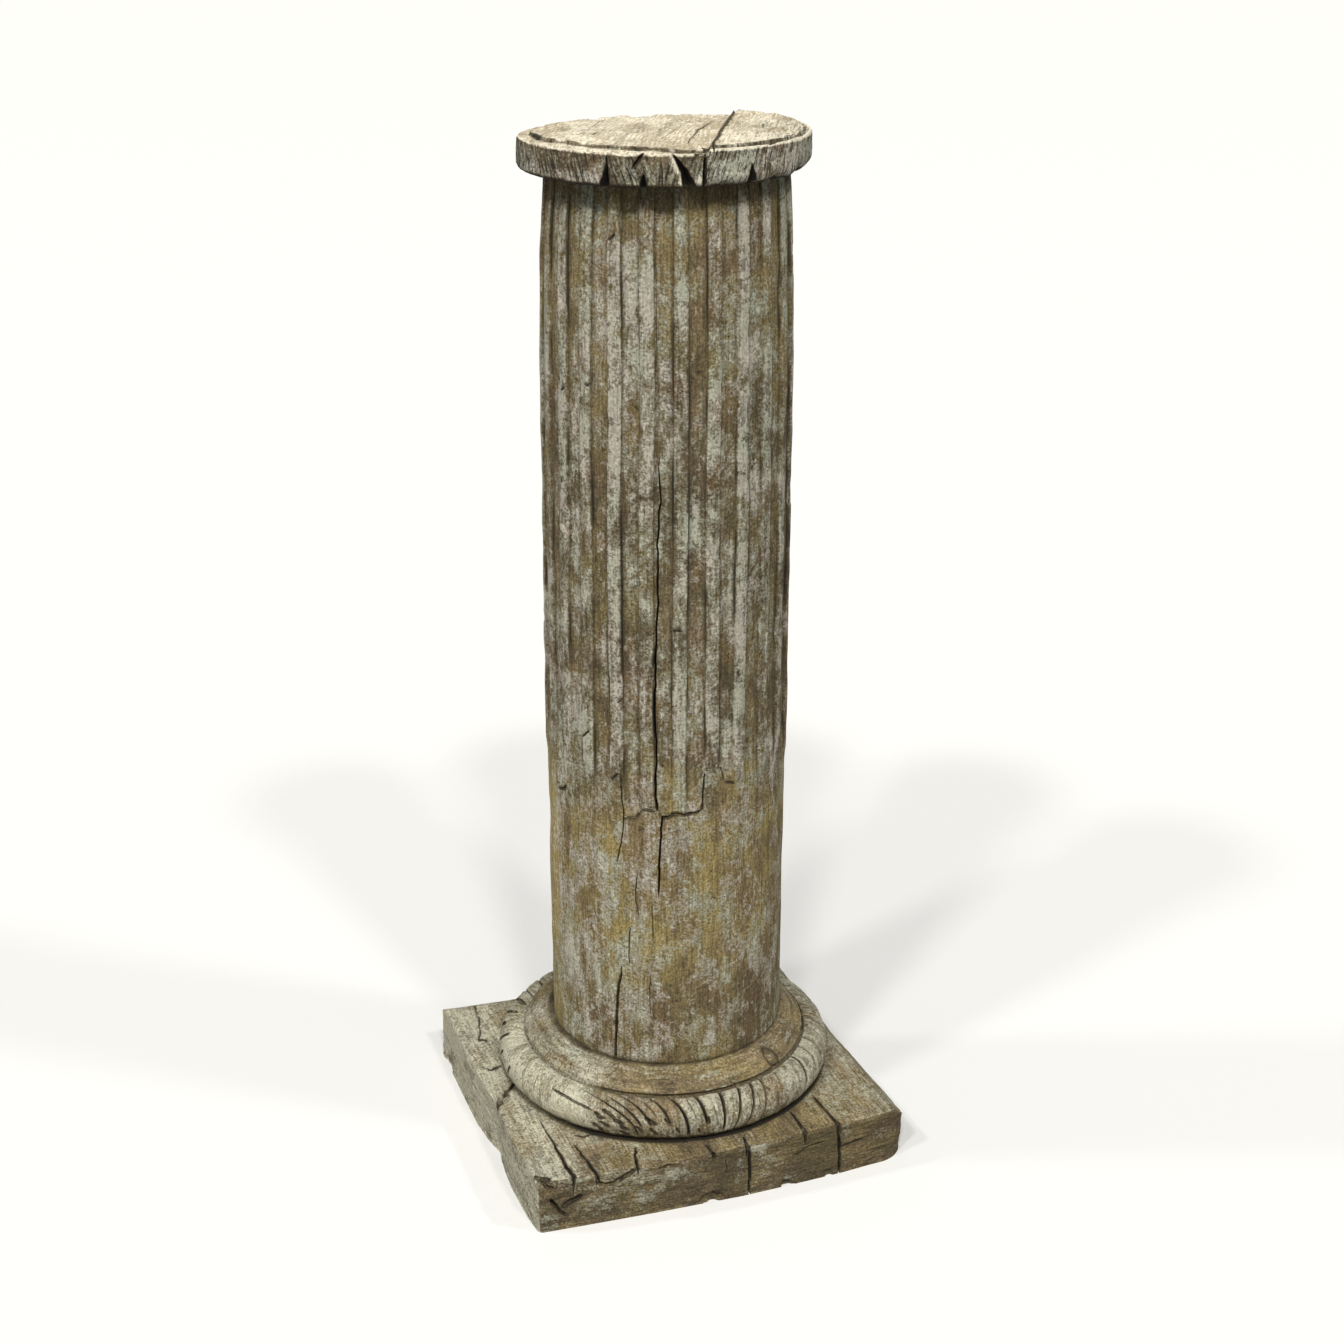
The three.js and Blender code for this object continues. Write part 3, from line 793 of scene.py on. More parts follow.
# Short slits along the carved strands, through marks of (angle round the section, angle in plan)
mouldingSlits = [
    crack(2.0, 4.5, (48, -152.2), (40, -143.0), (30, -134.8)),
    crack(3.2, 5.5, (27, -133.9), (14, -130.6)),
    crack(2.6, 5, (40, -131.2), (22, -126.4)),
    crack(3.0, 5, (19, -126.9), (8, -123.6)),
    crack(2.8, 5, (3, -124.6), (-10, -121.6)),
    crack(3.2, 5, (-5, -134.4), (-17, -132.0), (-30, -130.6)),
    crack(2.2, 4.5, (6, -131.2), (-6, -128.6)),
    crack(3.6, 6, (33, -116.6), (14, -112.6)),
    crack(2.6, 5, (6, -119.3), (-9, -116.9)),
    crack(2.8, 5, (3, -114.7), (-20, -112.0)),
    crack(2.2, 4.5, (32, -109.9), (12, -107.8)),
    crack(2.4, 4.5, (3, -106.0), (-13, -105.0)),
    crack(2.0, 4, (-4, -98.6), (-20, -98.0)),
    crack(3.6, 6, (26, -95.3), (8, -95.0)),
    crack(2.2, 4, (-15, -124.4), (-28, -121.8)),
    crack(3.4, 5, (20, 138.0), (60, 143.0), (98, 148.0)),
    crack(3.0, 5, (12, 146.0), (50, 151.0), (80, 154.0)),
    crack(3.6, 5, (14, 154.5), (48, 159.0)),
    crack(2.4, 4, (5, 163.0), (40, 166.5), (62, 168.0)),
    crack(2.4, 4, (0, 171.0), (24, 173.0)),
    crack(1.8, 4, (-8, -178.0), (18, -177.0)),
    crack(2.8, 4, (10, 96.0), (50, 101.0)),
    crack(2.6, 4, (5, 52.0), (45, 57.0)),
]


def mouldingSection():
    # radius, height and outward direction of each row, from the foot up to the shaft's seat
    form = mouldingForm
    torusRows, ringRows, topRows = form["rows"]
    low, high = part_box("base_moulding")
    turn = np.linspace(form["footAngle"], form["grooveAngle"], torusRows + 1) * degree
    torus = np.stack([form["centreRadius"] + form["sectionRadius"] * np.cos(turn),
                      low.z + form["centreHeight"] + form["sectionRadius"] * np.sin(turn)], 1)
    torus[0, 1] = low.z
    top = np.array([form["ringTopRadius"], high.z])
    way = (top - torus[-1]) / np.linalg.norm(top - torus[-1])
    share = np.linspace(0, 1, ringRows + 1)[1:]
    swell = form["ringBulge"] * np.sin(math.pi * np.sqrt(share))
    swell = swell - 0.9 * mm * ramp(share, 0.63, 0.68) * (1 - ramp(share, 0.9, 1))    # the faint step
    ring = torus[-1] + share[:, None] * (top - torus[-1]) + swell[:, None] * np.array([way[1], -way[0]])
    inward = np.linspace(form["ringTopRadius"], form["underShaft"], topRows + 1)[1:]
    flat = np.stack([inward, np.full(topRows, high.z)], 1)
    section = np.concatenate([torus, ring, flat])
    along = np.gradient(section, axis=0)
    outward = np.stack([along[:, 1], -along[:, 0]], 1)
    outward /= np.linalg.norm(outward, axis=1)[:, None]
    length = np.concatenate([[0], np.cumsum(np.linalg.norm(np.diff(section, axis=0), axis=1))])
    return section, outward, length


def allCuts():
    cuts = list(mouldingForm["cuts"])
    for number in range(27):    # the sides that the photograph doesn't show are carved in the same way
        top = -40 + 8.25 * number
        slant = np.interp(top, [-48, 20, 100, 150, 180], [5.8, 9, 12, 14, 8])
        wobble = 1.2 * math.sin(5.3 * number)
        depth = 1.5 + 0.5 * math.sin(2.1 * number)
        start, end = 0.04 * (number % 3), 0.72 + 0.05 * (number % 4)
        cuts.append((top + wobble, top + wobble - slant, depth, start, end))
    cuts.append((184, 180, 0.7, 0.1, 0.7))
    cuts.append((191.5, 192, 0.5, 0.1, 0.7))
    return np.array(cuts)


def cutAngle(cut, down, turnOn=0):
    # a cut's angle in plan at a share of the way down the torus; the ones at the left front sweep round more
    bend = np.interp(cut[..., 0], [-110, -88, -40, 0], [3.0, 1.1, 1.1, 1.6])
    return cut[..., 0] + turnOn + (cut[..., 1] - cut[..., 0]) * (1 - (1 - down) ** bend)


def cutOpen(cut, down):
    start, end = cut[..., 3], cut[..., 4]
    return ramp(down, start - 0.06, start + 0.04) * (1 - ramp(down, end - 0.04, end + 0.10))


def knotLine(angle, height, soft):
    centre, wide, middle, tall = mouldingForm["knot"]
    away = np.hypot(angleGap(angle, centre) / wide, (height - middle) / tall)
    return np.exp(-((away - 1) / soft) ** 2)


def makeMoulding():
    form = mouldingForm
    torusRows, ringRows, topRows = form["rows"]
    cuts = allCuts()
    perCut = form["columnsPerCut"]
    columns = len(cuts) * perCut
    moulding, row, column, rows = turnedBlank("carvedMoulding", "base_moulding", columns, 8, 12)
    section, outward, length = mouldingSection()
    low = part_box("base_moulding")[0].z

    # a point's way down the torus from the groove, and the cut on either side of it there
    down = np.clip(1 - row / torusRows, 0, 1)
    number, step = column // perCut, column % perCut
    following = (number + 1) % len(cuts)
    left = cutAngle(cuts[number], down)
    right = cutAngle(cuts[following], down, np.where(following == 0, 360, 0))
    near = np.minimum(0.34, (right - left) / 10)
    evenly = left + 2.1 * near + (right - left - 4.2 * near) * (step - 2) / (perCut - 4)
    angle = np.select([step == 0, step == 1, step == perCut - 1], [left, left + near, right - near], evenly)

    # the cuts themselves, crowned strands between them, and wear
    def depthAt(which):
        return cuts[which, 2] * mm * cutOpen(cuts[which], down)

    beside = np.minimum(step, perCut - step)
    fullness = np.select([beside == 0, beside == 1, beside == 2], [1.0, 0.55, 0.15], 0.0)
    side = np.where(step > perCut / 2, depthAt(following), depthAt(number))
    spot = onCircle(angle, section[row, 0], section[row, 1])
    uneven = 1 + 0.35 * smoothNoise(spot, 12 * mm, 5, 2)
    carved = side * fullness * uneven
    across = (angle - left) / np.maximum(right - left, 1e-6)
    crown = (1 - np.sin(math.pi * np.clip(across, 0, 1)) ** 0.7) * np.minimum(side * 0.4, 0.9 * mm)
    onTorus = (row < torusRows).astype(float)
    strand = np.stack([number * 30 + across * 16, down * 4.0, down * 0], 1)
    scratches = (smoothNoise(strand, (1.1, 1.4, 1), 3, 2) * 0.42 * mm) * ramp(down, 0.05, 0.2)
    smoothSide = ramp(np.abs(angleGap(angle, -168)), 10, 24)    # rubbed smooth on the left
    lumps = smoothNoise(spot, 26 * mm, 11, 3) * 0.8 * mm
    small = smoothNoise(spot, 6 * mm, 17, 2) * 0.28 * mm
    inward = (carved + crown * 0.9 + scratches) * onTorus * (0.25 + 0.75 * smoothSide)
    inward = inward + np.abs(lumps) + small + 0.2 * mm
    groove = np.exp(-((row - torusRows) / 1.3) ** 2)
    deepGroove = 1.0 + 0.8 * nearAngle(angle, -85, 75, 40)
    grooveOpen = 1 - nearAngle(angle, 172, 64, 46)    # rubbed away on the left
    inward = inward + groove * deepGroove * 1.5 * mm * (0.15 + 0.85 * grooveOpen)
    hollow = roundSpot(angleGap(angle, -150) / 13, (section[row, 1] - low - 0.045) / (5 * mm))
    inward = inward + hollow * 1.6 * mm
    ringWear = ramp(smoothNoise(spot, (30 * mm, 30 * mm, 12 * mm), 23, 2), 0.25, 0.9) * 1.6 * mm
    knotRing = knotLine(angle, section[row, 1] - low, 0.25)
    onRing = ((row >= torusRows) & (row <= torusRows + ringRows)).astype(float)
    inward = inward + onRing * (ringWear + 1.3 * mm * knotRing)
    flat = (row > torusRows + ringRows - 1) | (row == 0)
    inward = np.where(flat, 0.15 * mm, inward)
    place = section[row] - outward[row] * inward[:, None]
    place[:, 1] = np.where(row == 0, low, np.clip(place[:, 1], low + 0.05 * mm, section[-1, 1]))
    writePoints(moulding, onCircle(angle, place[:, 0], place[:, 1]) + form["shift"])

    cutters = []
    for entry in mouldingSlits:
        marks = np.array(entry["route"], float)
        turn = marks[:, 0] * degree
        reach = form["centreRadius"] + form["sectionRadius"] * np.cos(turn)
        height = low + form["centreHeight"] + form["sectionRadius"] * np.sin(turn)
        places = onCircle(marks[:, 1], reach, height)
        route = refineRoute(places, 14, 0.5 * mm, seed=int(abs(marks[0, 1]) * 7))
        about = polar(route)[0]
        heart = onCircle(about, form["centreRadius"], low + form["centreHeight"])
        out = (route - heart) / np.linalg.norm(route - heart, axis=1)[:, None]
        cutters.append(makeSplit(entry, route + form["shift"], out, entry["width"] * mm, entry["depth"] * mm))
    cutAway(moulding, cutters)
    print("moulding: cuts and slits made")

    places = readPoints(moulding)
    local = places - form["shift"]
    angle, radius = polar(local)
    up = local[:, 2]
    height = up - low
    turn = np.degrees(np.arctan2(height - form["centreHeight"], radius - form["centreRadius"]))
    gap = np.hypot(height - form["centreHeight"], radius - form["centreRadius"])
    groovePoint = section[torusRows]
    torusHere = (radius > groovePoint[0] - 0.5 * mm) | (up < groovePoint[1] - 2 * mm)
    sunk = np.where(torusHere, form["sectionRadius"] - gap, 0)
    down = np.clip((form["grooveAngle"] - turn) / (form["grooveAngle"] - form["footAngle"]), 0, 1)
    down = np.where(turn < -120, 0, down)
    rubbed = nearAngle(angle, 178, 42, 24)
    recess = np.zeros(len(places))
    # painted shade with dirt along the carved cuts
    for cut in cuts:
        beside = np.abs(angleGap(angle, cutAngle(cut, down))) * degree * radius
        line = 1 - ramp(beside, (0.15 + 0.16 * cut[2]) * mm, (0.7 + 0.40 * cut[2]) * mm)
        recess = np.maximum(recess, line * cutOpen(cut, down) * min(1, cut[2] / 2.2) * torusHere)
    recess = recess * (1 - 0.6 * rubbed)
    # painted shade with dirt in the groove between the torus and the ring
    toGroove = np.hypot(radius - groovePoint[0], up - groovePoint[1])
    grooveOpen = 1 - nearAngle(angle, 172, 64, 46)
    recess = np.maximum(recess, (1 - ramp(toGroove, 1.1 * mm, 3.2 * mm)) * (0.06 + 0.94 * grooveOpen))
    patchy = 0.75 + 0.25 * smoothNoise(places, 14 * mm, 71, 2)
    # painted shade under the torus at its foot, strongest at the front
    atFront = 0.45 + 0.55 * nearAngle(angle, -98, 62, 30)
    recess = np.maximum(recess, (1 - ramp(height, 3.5 * mm, 8.5 * mm)) * patchy * atFront)
    # painted shade with dirt where the shaft stands on the ring
    atShaft = (1 - ramp(radius - form["shaftFoot"], 0.5 * mm, 3.5 * mm)) * (up > low + 0.05)
    recess = np.maximum(recess, atShaft * patchy)
    # painted shade with dirt inside the slits
    recess = np.maximum(recess, splitsDark(places, mouldingSlits))
    knotRing = knotLine(angle, height, 0.2)
    recess = np.maximum(recess, knotRing * 0.8 * (radius < 0.152))
    # both sides are painted lighter: the left partly painted light and partly a paler wash, the right painted
    # light from that side with a tanner hue
    leftSide = nearAngle(angle, -172, 52, 24)
    litAndTanRight = ramp(angle, -76, -44) * (1 - ramp(angle, 40, 90))
    brownStrip = roundSpot(angleGap(angle, -152) / 15, (height - 0.044) / (6 * mm))
    brownStrip = brownStrip * (1 - torusHere)
    # grain: along the carved strands on the torus, round the ring above it
    around = angle * degree
    lean = np.interp(angle, [-180, -150, -125, -88, -60, 20, 100, 150, 180],
                     [4, 6, 6, 0, -6, -8.8, -11.8, -11, 4]) * mm
    torusGrain = np.stack([around * 0.157 + turn * degree * lean, turn * degree * 0.022 / 9, around * 0], 1)
    ringGrain = np.stack([around * 0.14 / 12 + 2, up * 1.3, around * 0], 1)
    grain = np.where(torusHere[:, None], torusGrain, ringGrain)
    masks = {
        "recess": recess,
        "proud": np.clip(1 - sunk / (1.2 * mm), 0, 1) * torusHere,
        "wash": (0.12 * leftSide + np.where(torusHere, 0.035, -0.11 + 0.06 * leftSide)
                 - 0.06 * brownStrip + 0.05 * litAndTanRight),
        "tone": 0.5 * leftSide + np.where(torusHere, 0.4, -0.05) - 0.5 * brownStrip + 0.4 * litAndTanRight,
        "pale": 0.26 * leftSide * torusHere,
        "stain": np.where(torusHere, 0.2, 0.32) * (1 - 0.5 * leftSide) + 0.3 * brownStrip,
        "calm": 0.5 * leftSide,
    }
    finishPiece(moulding, "base_moulding", mouldingWood, masks, grain)


mouldingWood = washedWood("moulding wood", {
    "Wash Amount": 0.0, "Proud Pull": 0.02, "Streak Pull": 0.45, "Patch Pull": 0.6, "Flake Pull": 0.6,
    "Patch Scale": 36.0, "Streak Scale": 190.0, "Stain Amount": 0.25, "Film": 0.50, "Thick": 0.45,
    "Open Grain": 0.45, "Rust": (0.165, 0.122, 0.068, 1), "Warm Wash": (0.428, 0.408, 0.318, 1),
    "Pale Wash": (0.720, 0.695, 0.520, 1), "Pale Wood": (0.460, 0.415, 0.260, 1),
})
makeMoulding()


# Plinth: a square block worn out of true, with checks along its grain

plinthForm = {
    "cells": ((14, 16), (10, 16), (36,)),    # along x, y and z
    "cornerRadius": 7 * mm,
    "wornCornerRadius": 34 * mm,
    "edgeRadius": 4.5 * mm,
    # outlines in mm, as (along the side, place): at the ground and at the top edge
    "frontFoot": [
        (-206, -182.5), (-173, -185), (-128, -188), (-83, -191), (-38, -193), (11, -195.5), (60, -195),
        (126, -193.5), (157, -191), (206, -189),
    ],
    "frontTop": [
        (-206, -183.5), (-140, -192), (-103, -196), (-60, -198), (21, -198.5), (80, -196.5),
        (118, -194.5), (157, -195), (206, -190),
    ],
    "leftFoot": [
        (-190, -203.5), (-158, -206.5), (-100, -207.5), (-70, -205.5), (-40, -202.5), (-25, -202.5),
        (-8, -205.5), (26, -208.5), (92, -208), (184, -206.5),
    ],
    "leftTop": [
        (-190, -205.5), (-104, -206.5), (-60, -205), (-33, -203), (0, -205.5), (52, -206),
        (167, -203.5), (184, -205.5),
    ],
    "rightFoot": [(-190, 205.8), (-120, 204.5), (0, 201.8), (110, 203.2), (184, 205.2)],
    "backFoot": [(-206, 183.5), (-100, 176.5), (0, 172.5), (100, 175.5), (206, 183.2)],
    "rows": [-190, -105, 95, 184],           # where the rows from front to back stand closer
    "seat": (-2.5 * mm, 2 * mm, 170.5 * mm),  # centre and radius of the torus's foot
    "rightSlope": (19 * mm, 21 * mm),        # worn off the right top edge: inset and drop
    "backSlope": (15 * mm, 8 * mm),
}

# Checks on the top from the front along the grain (x, y), each of which runs on down the front face (x, z)
plinthChecks = [
    crack((0.8, 3.4), 22, (-170, -78), (-169, -127), (-168.5, -172), (-167, -192), face=[(-167, 62),
          (-168.5, 52)], wander=0.9),
    crack((0.7, 3.0), 16, (-150, -132), (-147.5, -155), (-146, -175), (-144.5, -196), face=[(-144, 60),
          (-141, 50)], wander=0.9),
    crack((2.0, 2.4), 8, (-24, -181), (-22.5, -199), face=[(-21, 61), (-20, 53)]),
    crack((1.8, 3.2), 16, (17.5, -181), (16, -190), (14, -199), face=[(16, 62), (18, 52), (19, 24),
          (19, 0)]),
    crack((2.2, 3.6), 14, (81, -156), (81, -180), (80, -198), face=[(81, 62), (82, 46)]),
    crack((2.2, 3.4), 18, (115, -136), (116, -160), (118, -196), face=[(119.5, 62), (121, 37), (121.5, 18),
          (122, 0)]),
]

# Splits on the front face (x, z) and on the top (x, y), in mm
plinthFaceSplits = [
    crack((2.4, 4.2), 8, (-144, 50), (-136, 47.5), (-128, 46.5), (-120, 50), (-111, 55.5), (-104.5, 60)),
    crack((5.0, 4.0), 10, (-179, 27), (-172, 31), (-159, 38), wander=1.2),
    crack((4.0, 3.0), 8, (-191, 39), (-187, 31), (-181, 22), (-174, 15.5), wander=1.0),
    crack((2.2, 2.4), 8, (68, 35), (78, 39.5), (87, 43), (95, 43.5), (105, 44)),
    crack((2.0, 1.0), 5, (123, 32), (142, 36), (152, 38), (166, 42)),
    crack((1.2, 1.0), 3, (-84, 57), (-70, 58), (-58, 57)),
    crack((4.5, 2.6), 8, (-200, 60), (-195, 54.5), (-188, 52)),
    crack((1.2, 0.8), 3, (-96, 40), (-88, 43), (-79, 42)),
    crack((1.2, 0.8), 3, (-8, 50), (-6, 40), (-8, 33)),
]
plinthTopSplits = [
    crack((3.4, 1.4), 9, (-103.5, -201), (-102, -192), (-99, -178), (-93, -160), wander=1.2),
    crack((2.4, 6.5), 14, (-172, -1), (-179, -8), (-190, -19), (-197, -31), (-208, -42), wander=2.6),
    crack((1.0, 0.8), 3, (-167, 186), (-172, 150), (-177, 118), (-186, 92), wander=1.8),
    crack((2.8, 1.6), 5, (-183, 95), (-178, 90)),
    crack((3.5, 4.5), 7, (-206, -169), (-200, -176), (-192, -182), wander=1.0),
    crack((1.2, 1.0), 3, (-143, -118), (-136, -124), (-128, -121), (-118, -126), wander=1.8),
    crack((1.4, 1.0), 3, (-198, 38), (-190, 30), (-178, 34), wander=1.8),
    crack((3.4, 1.2), 14, (70, 190), (66, 150), (69, 128)),
    crack((2.8, 1.6), 10, (-60, 186), (-58, 168)),
    crack((1.2, 3.4), 12, (152, 40), (176, 36), (208, 33), wander=1.2),
]
plinthChips = [    # centre and size in mm of what has broken off, and how deep
    (-22, -193, 4, 13, 10, 8, 4.5), (62, -194, 2, 8, 10, 6, 4.0), (-204, -35, 20, 10, 22, 26, 2.5),
    (-205, -186, 60, 10, 9, 7, 3.0), (109, -193, 3, 6, 8, 5, 2.5), (196, -176, 58, 18, 18, 8, 2.5),
    (-204, 150, 4, 10, 18, 9, 3.0), (204, 60, 3, 9, 22, 8, 3.5), (30, 176, 3, 20, 9, 8, 3.5),
    (-206, 60, 60, 8, 26, 6, 1.6),
]


# Where the wash still lies thick on the front face: centre x and z, half width and half height in mm
plinthSmudges = [
    (-146, 22, 22, 14), (-196, 12, 16, 12), (-64, 44, 22, 12), (-88, 24, 14, 10), (70, 9, 10, 6),
    (86, 8, 8, 6), (108, 5, 8, 5), (28, 52, 9, 12), (9, 30, 5, 26), (-30, 12, 18, 8), (176, 40, 16, 12),
    (126, 50, 10, 8),
]


def sideAt(name, along):
    marks = np.array(plinthForm[name]) * mm
    return np.interp(along, marks[:, 0], marks[:, 1])


def roundCorner(first, second, radius):
    # takes the square corner between two faces to a quarter circle; each value is the distance from its face
    a = np.clip(1 - first / radius, 0, 1)
    b = np.clip(1 - second / radius, 0, 1)
    newA, newB = a * np.sqrt(1 - b * b / 2), b * np.sqrt(1 - a * a / 2)
    return np.where(a * b > 0, (1 - newA) * radius, first), np.where(a * b > 0, (1 - newB) * radius, second)


def plinthRoute(entry, onFace, count):
    marks = np.array(entry["route"], float) * mm
    if onFace:
        lean = marks[:, 1] / (62 * mm)
        y = sideAt("frontFoot", marks[:, 0]) * (1 - lean) + sideAt("frontTop", marks[:, 0]) * lean + 1.8 * mm
        places = np.stack([marks[:, 0], y, marks[:, 1]], 1)
    else:
        places = np.stack([marks[:, 0], marks[:, 1], np.full(len(marks), 60.8 * mm)], 1)
    return refineRoute(places, count, entry.get("wander", 0.5) * mm, seed=int(abs(entry["route"][0][0])))


def makePlinth():
    form = plinthForm
    lowCorner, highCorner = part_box("plinth")
    height = highCorner.z
    pickNothing()
    bpy.ops.mesh.primitive_cube_add(size=1, location=(0, 0, 0))
    plinth = bpy.context.object
    plinth.name = plinth.data.name = "wornPlinth"
    for axis, parts in enumerate(form["cells"]):
        subdivideAlong(plinth, axis, *parts)
    # the underside is one plain face
    makeActive(plinth)
    bpy.context.tool_settings.mesh_select_mode = (False, False, True)
    centres = np.empty(len(plinth.data.polygons) * 3, np.float32)
    plinth.data.polygons.foreach_get("center", centres)
    plinth.data.vertices.foreach_set("select", np.zeros(len(plinth.data.vertices), bool))
    plinth.data.edges.foreach_set("select", np.zeros(len(plinth.data.edges), bool))
    plinth.data.polygons.foreach_set("select", centres.reshape(-1, 3)[:, 2] < -0.4999)
    bpy.ops.object.mode_set(mode="EDIT")
    bpy.ops.mesh.dissolve_faces()
    bpy.ops.object.mode_set(mode="OBJECT")

    u, v, w = (readPoints(plinth) + 0.5).T
    # rows stand closer towards the front
    x = np.interp(u, [0, 1], [-206, 206]) * mm
    y = np.interp(v, [0, 0.44, 0.70, 1], form["rows"]) * mm
    z = w * height
    front = sideAt("frontFoot", x) * (1 - w) + sideAt("frontTop", x) * w
    left = sideAt("leftFoot", y) * (1 - w) + sideAt("leftTop", y) * w
    right, back = sideAt("rightFoot", y), sideAt("backFoot", x)
    share = np.interp(y, [-0.190, -0.105], [1, 0])
    y = y + share * (front + 0.190)
    share = np.interp(y, [0.095, 0.184], [0, 1])
    y = y + share * (back - 0.184)
    x = np.interp(x, [-0.206, -0.15], [1, 0]) * (left + 0.206) + x
    x = np.interp(x, [0.15, 0.206], [0, 1]) * (right - 0.206) + x

    # corners in plan, the slopes worn on the right and at the back, and the rounded top edges
    fromLeft, fromRight, fromFront, fromBack = x - left, right - x, y - front, back - y
    worn = form["wornCornerRadius"] * (1 - 0.25 * w)
    fromRight, fromFront = roundCorner(fromRight, fromFront, worn)
    fromLeft, fromFront = roundCorner(fromLeft, fromFront, form["cornerRadius"] * 0.7)
    fromLeft, fromBack = roundCorner(fromLeft, fromBack, form["cornerRadius"])
    fromRight, fromBack = roundCorner(fromRight, fromBack, form["cornerRadius"])
    x = np.where(x < 0, left + fromLeft, right - fromRight)
    y = np.where(y < 0, front + fromFront, back - fromBack)
    edge = np.minimum(np.minimum(x - left, right - x), np.minimum(y - front, back - y))
    spot = np.stack([x, y, z], 1)
    wearing = 1 + 0.6 * smoothNoise(spot, 22 * mm, 3, 2)
    down = height - z
    onRight, onBack = right - x, back - y
    for gap, (inset, drop) in ((onRight, form["rightSlope"]), (onBack, form["backSlope"])):
        # what stands above the slope comes down, or in, onto it
        over = np.clip(1 - gap / inset - down / drop, 0, 1)
        down = down + over * drop * 0.5 * (1 + over * 0.1)
        if gap is onRight:
            x = x - over * inset * 0.5
        else:
            y = y - over * inset * 0.5
    radius = np.clip(form["edgeRadius"] * wearing, 1.2 * mm, 9 * mm)
    near = np.clip(1 - edge / radius, 0, 1)
    low = np.clip(1 - down / radius, 0, 1)
    z = np.where(near * low > 0, height - (1 - low * np.sqrt(1 - near * near / 2)) * radius, height - down)
    shift = near * (1 - np.sqrt(1 - low * low / 2)) * radius
    side = np.argmin(np.stack([x - left, right - x, y - front, back - y]), axis=0)
    x = x + np.where(side == 0, shift, 0) - np.where(side == 1, shift, 0)
    y = y + np.where(side == 2, shift, 0) - np.where(side == 3, shift, 0)

    # relief: hollows and ridges along the grain on top, level grain on the front face, and chips
    spot = np.stack([x, y, z], 1)
    topness = ramp(z, height - 7 * mm, height - 1 * mm) * ramp(edge, 1 * mm, 9 * mm)
    broad = smoothNoise(spot, (45 * mm, 60 * mm, 40 * mm), 13, 2)
    grainTop = smoothNoise(spot, (3.6 * mm, 70 * mm, 50 * mm), 17, 2) * 0.35
    grainTop = grainTop + smoothNoise(spot, (9 * mm, 12 * mm, 9 * mm), 19, 2) * 0.3
    z = z - topness * (np.abs(broad) + grainTop * 0.8 + 0.4) * mm
    grainSide = smoothNoise(spot, (60 * mm, 60 * mm, 3.4 * mm), 29, 2) * 0.40
    grainSide = grainSide + smoothNoise(spot, 8 * mm, 31, 3) * 0.45
    push = (np.abs(broad) * 0.8 + grainSide + 0.5) * mm * ramp(z, 0, 3 * mm)
    # a slab beside the second check stands a little lower than the rest, to a curved edge
    slabEdge = np.interp(x, [-0.1445, -0.128, -0.110, -0.102], [0.050, 0.047, 0.056, 0.0605])
    onSlab = (x > -0.145) & (x < -0.100) & (side == 2)
    push = push + np.where(onSlab, ramp(z, slabEdge - 0.8 * mm, slabEdge + 0.8 * mm), 0) * 1.3 * mm
    knot = roundSpot((x + 0.176) / (9 * mm), (z - 0.036) / (8 * mm)) * (side == 2)
    push = push + knot * 2.6 * mm * (1 + 0.5 * smoothNoise(spot, 4 * mm, 37, 2))
    sideness = 1 - topness
    x = x + np.where(side == 0, push, 0) * sideness - np.where(side == 1, push, 0) * sideness
    y = y + np.where(side == 2, push, 0) * sideness - np.where(side == 3, push, 0) * sideness
    places = np.stack([x, y, z], 1)
    for cx, cy, cz, sx, sy, sz, depth in plinthChips:
        centre, size = np.array([cx, cy, cz]) * mm, np.array([sx, sy, sz]) * mm
        away = np.linalg.norm((places - centre) / size, axis=1)
        away = away + 0.25 * smoothNoise(places, 5 * mm, 41, 2)
        bite = (1 - ramp(away, 0.55, 1.0)) * depth * mm
        inward = -np.array([cx / 206, cy / 190, 0.6 if cz > 40 else 0])
        if cz < 40:
            inward = -np.array([float(abs(cx) > 190) * np.sign(cx), float(abs(cx) <= 190) * np.sign(cy), 0])
        inward = inward / np.linalg.norm(inward)
        places = places + bite[:, None] * inward
    places[:, 2] = np.clip(places[:, 2], 0, height)
    places[w < 1e-6, 2] = 0
    writePoints(plinth, places)

    checks, facing, splits = [], [], []
    for entry in plinthChecks:
        route, depth = plinthRoute(entry, False, 26), entry["depth"] * mm
        widths = np.linspace(*entry["width"], 26) * mm
        checks.append(makeSplit(entry, route, upward, widths, depth, (0.05, 1.2)))
        deep = entry["face"][-1][1] == 0
        route = plinthRoute({"route": entry["face"]}, True, 20)
        widths = np.linspace(entry["width"][1], entry["width"][1] * (0.8 if deep else 0.4), 20) * mm
        facing.append(makeSplit(entry, route, forward, widths, 12 * mm, (1.2, 1.2 if deep else 0.05)))
    for entries, onFace, outward, ends in ((plinthTopSplits, False, upward, (0.3, 0.6)),
                                           (plinthFaceSplits, True, forward, (0.3, 0.3))):
        for entry in entries:
            route, depth = plinthRoute(entry, onFace, 22), entry["depth"] * mm
            widths = np.linspace(*entry["width"], 22) * mm
            splits.append(makeSplit(entry, route, outward, widths, depth, ends))
    for cutters in (checks, facing, splits):
        cutAway(plinth, cutters)
    print("plinth: shaped and split")

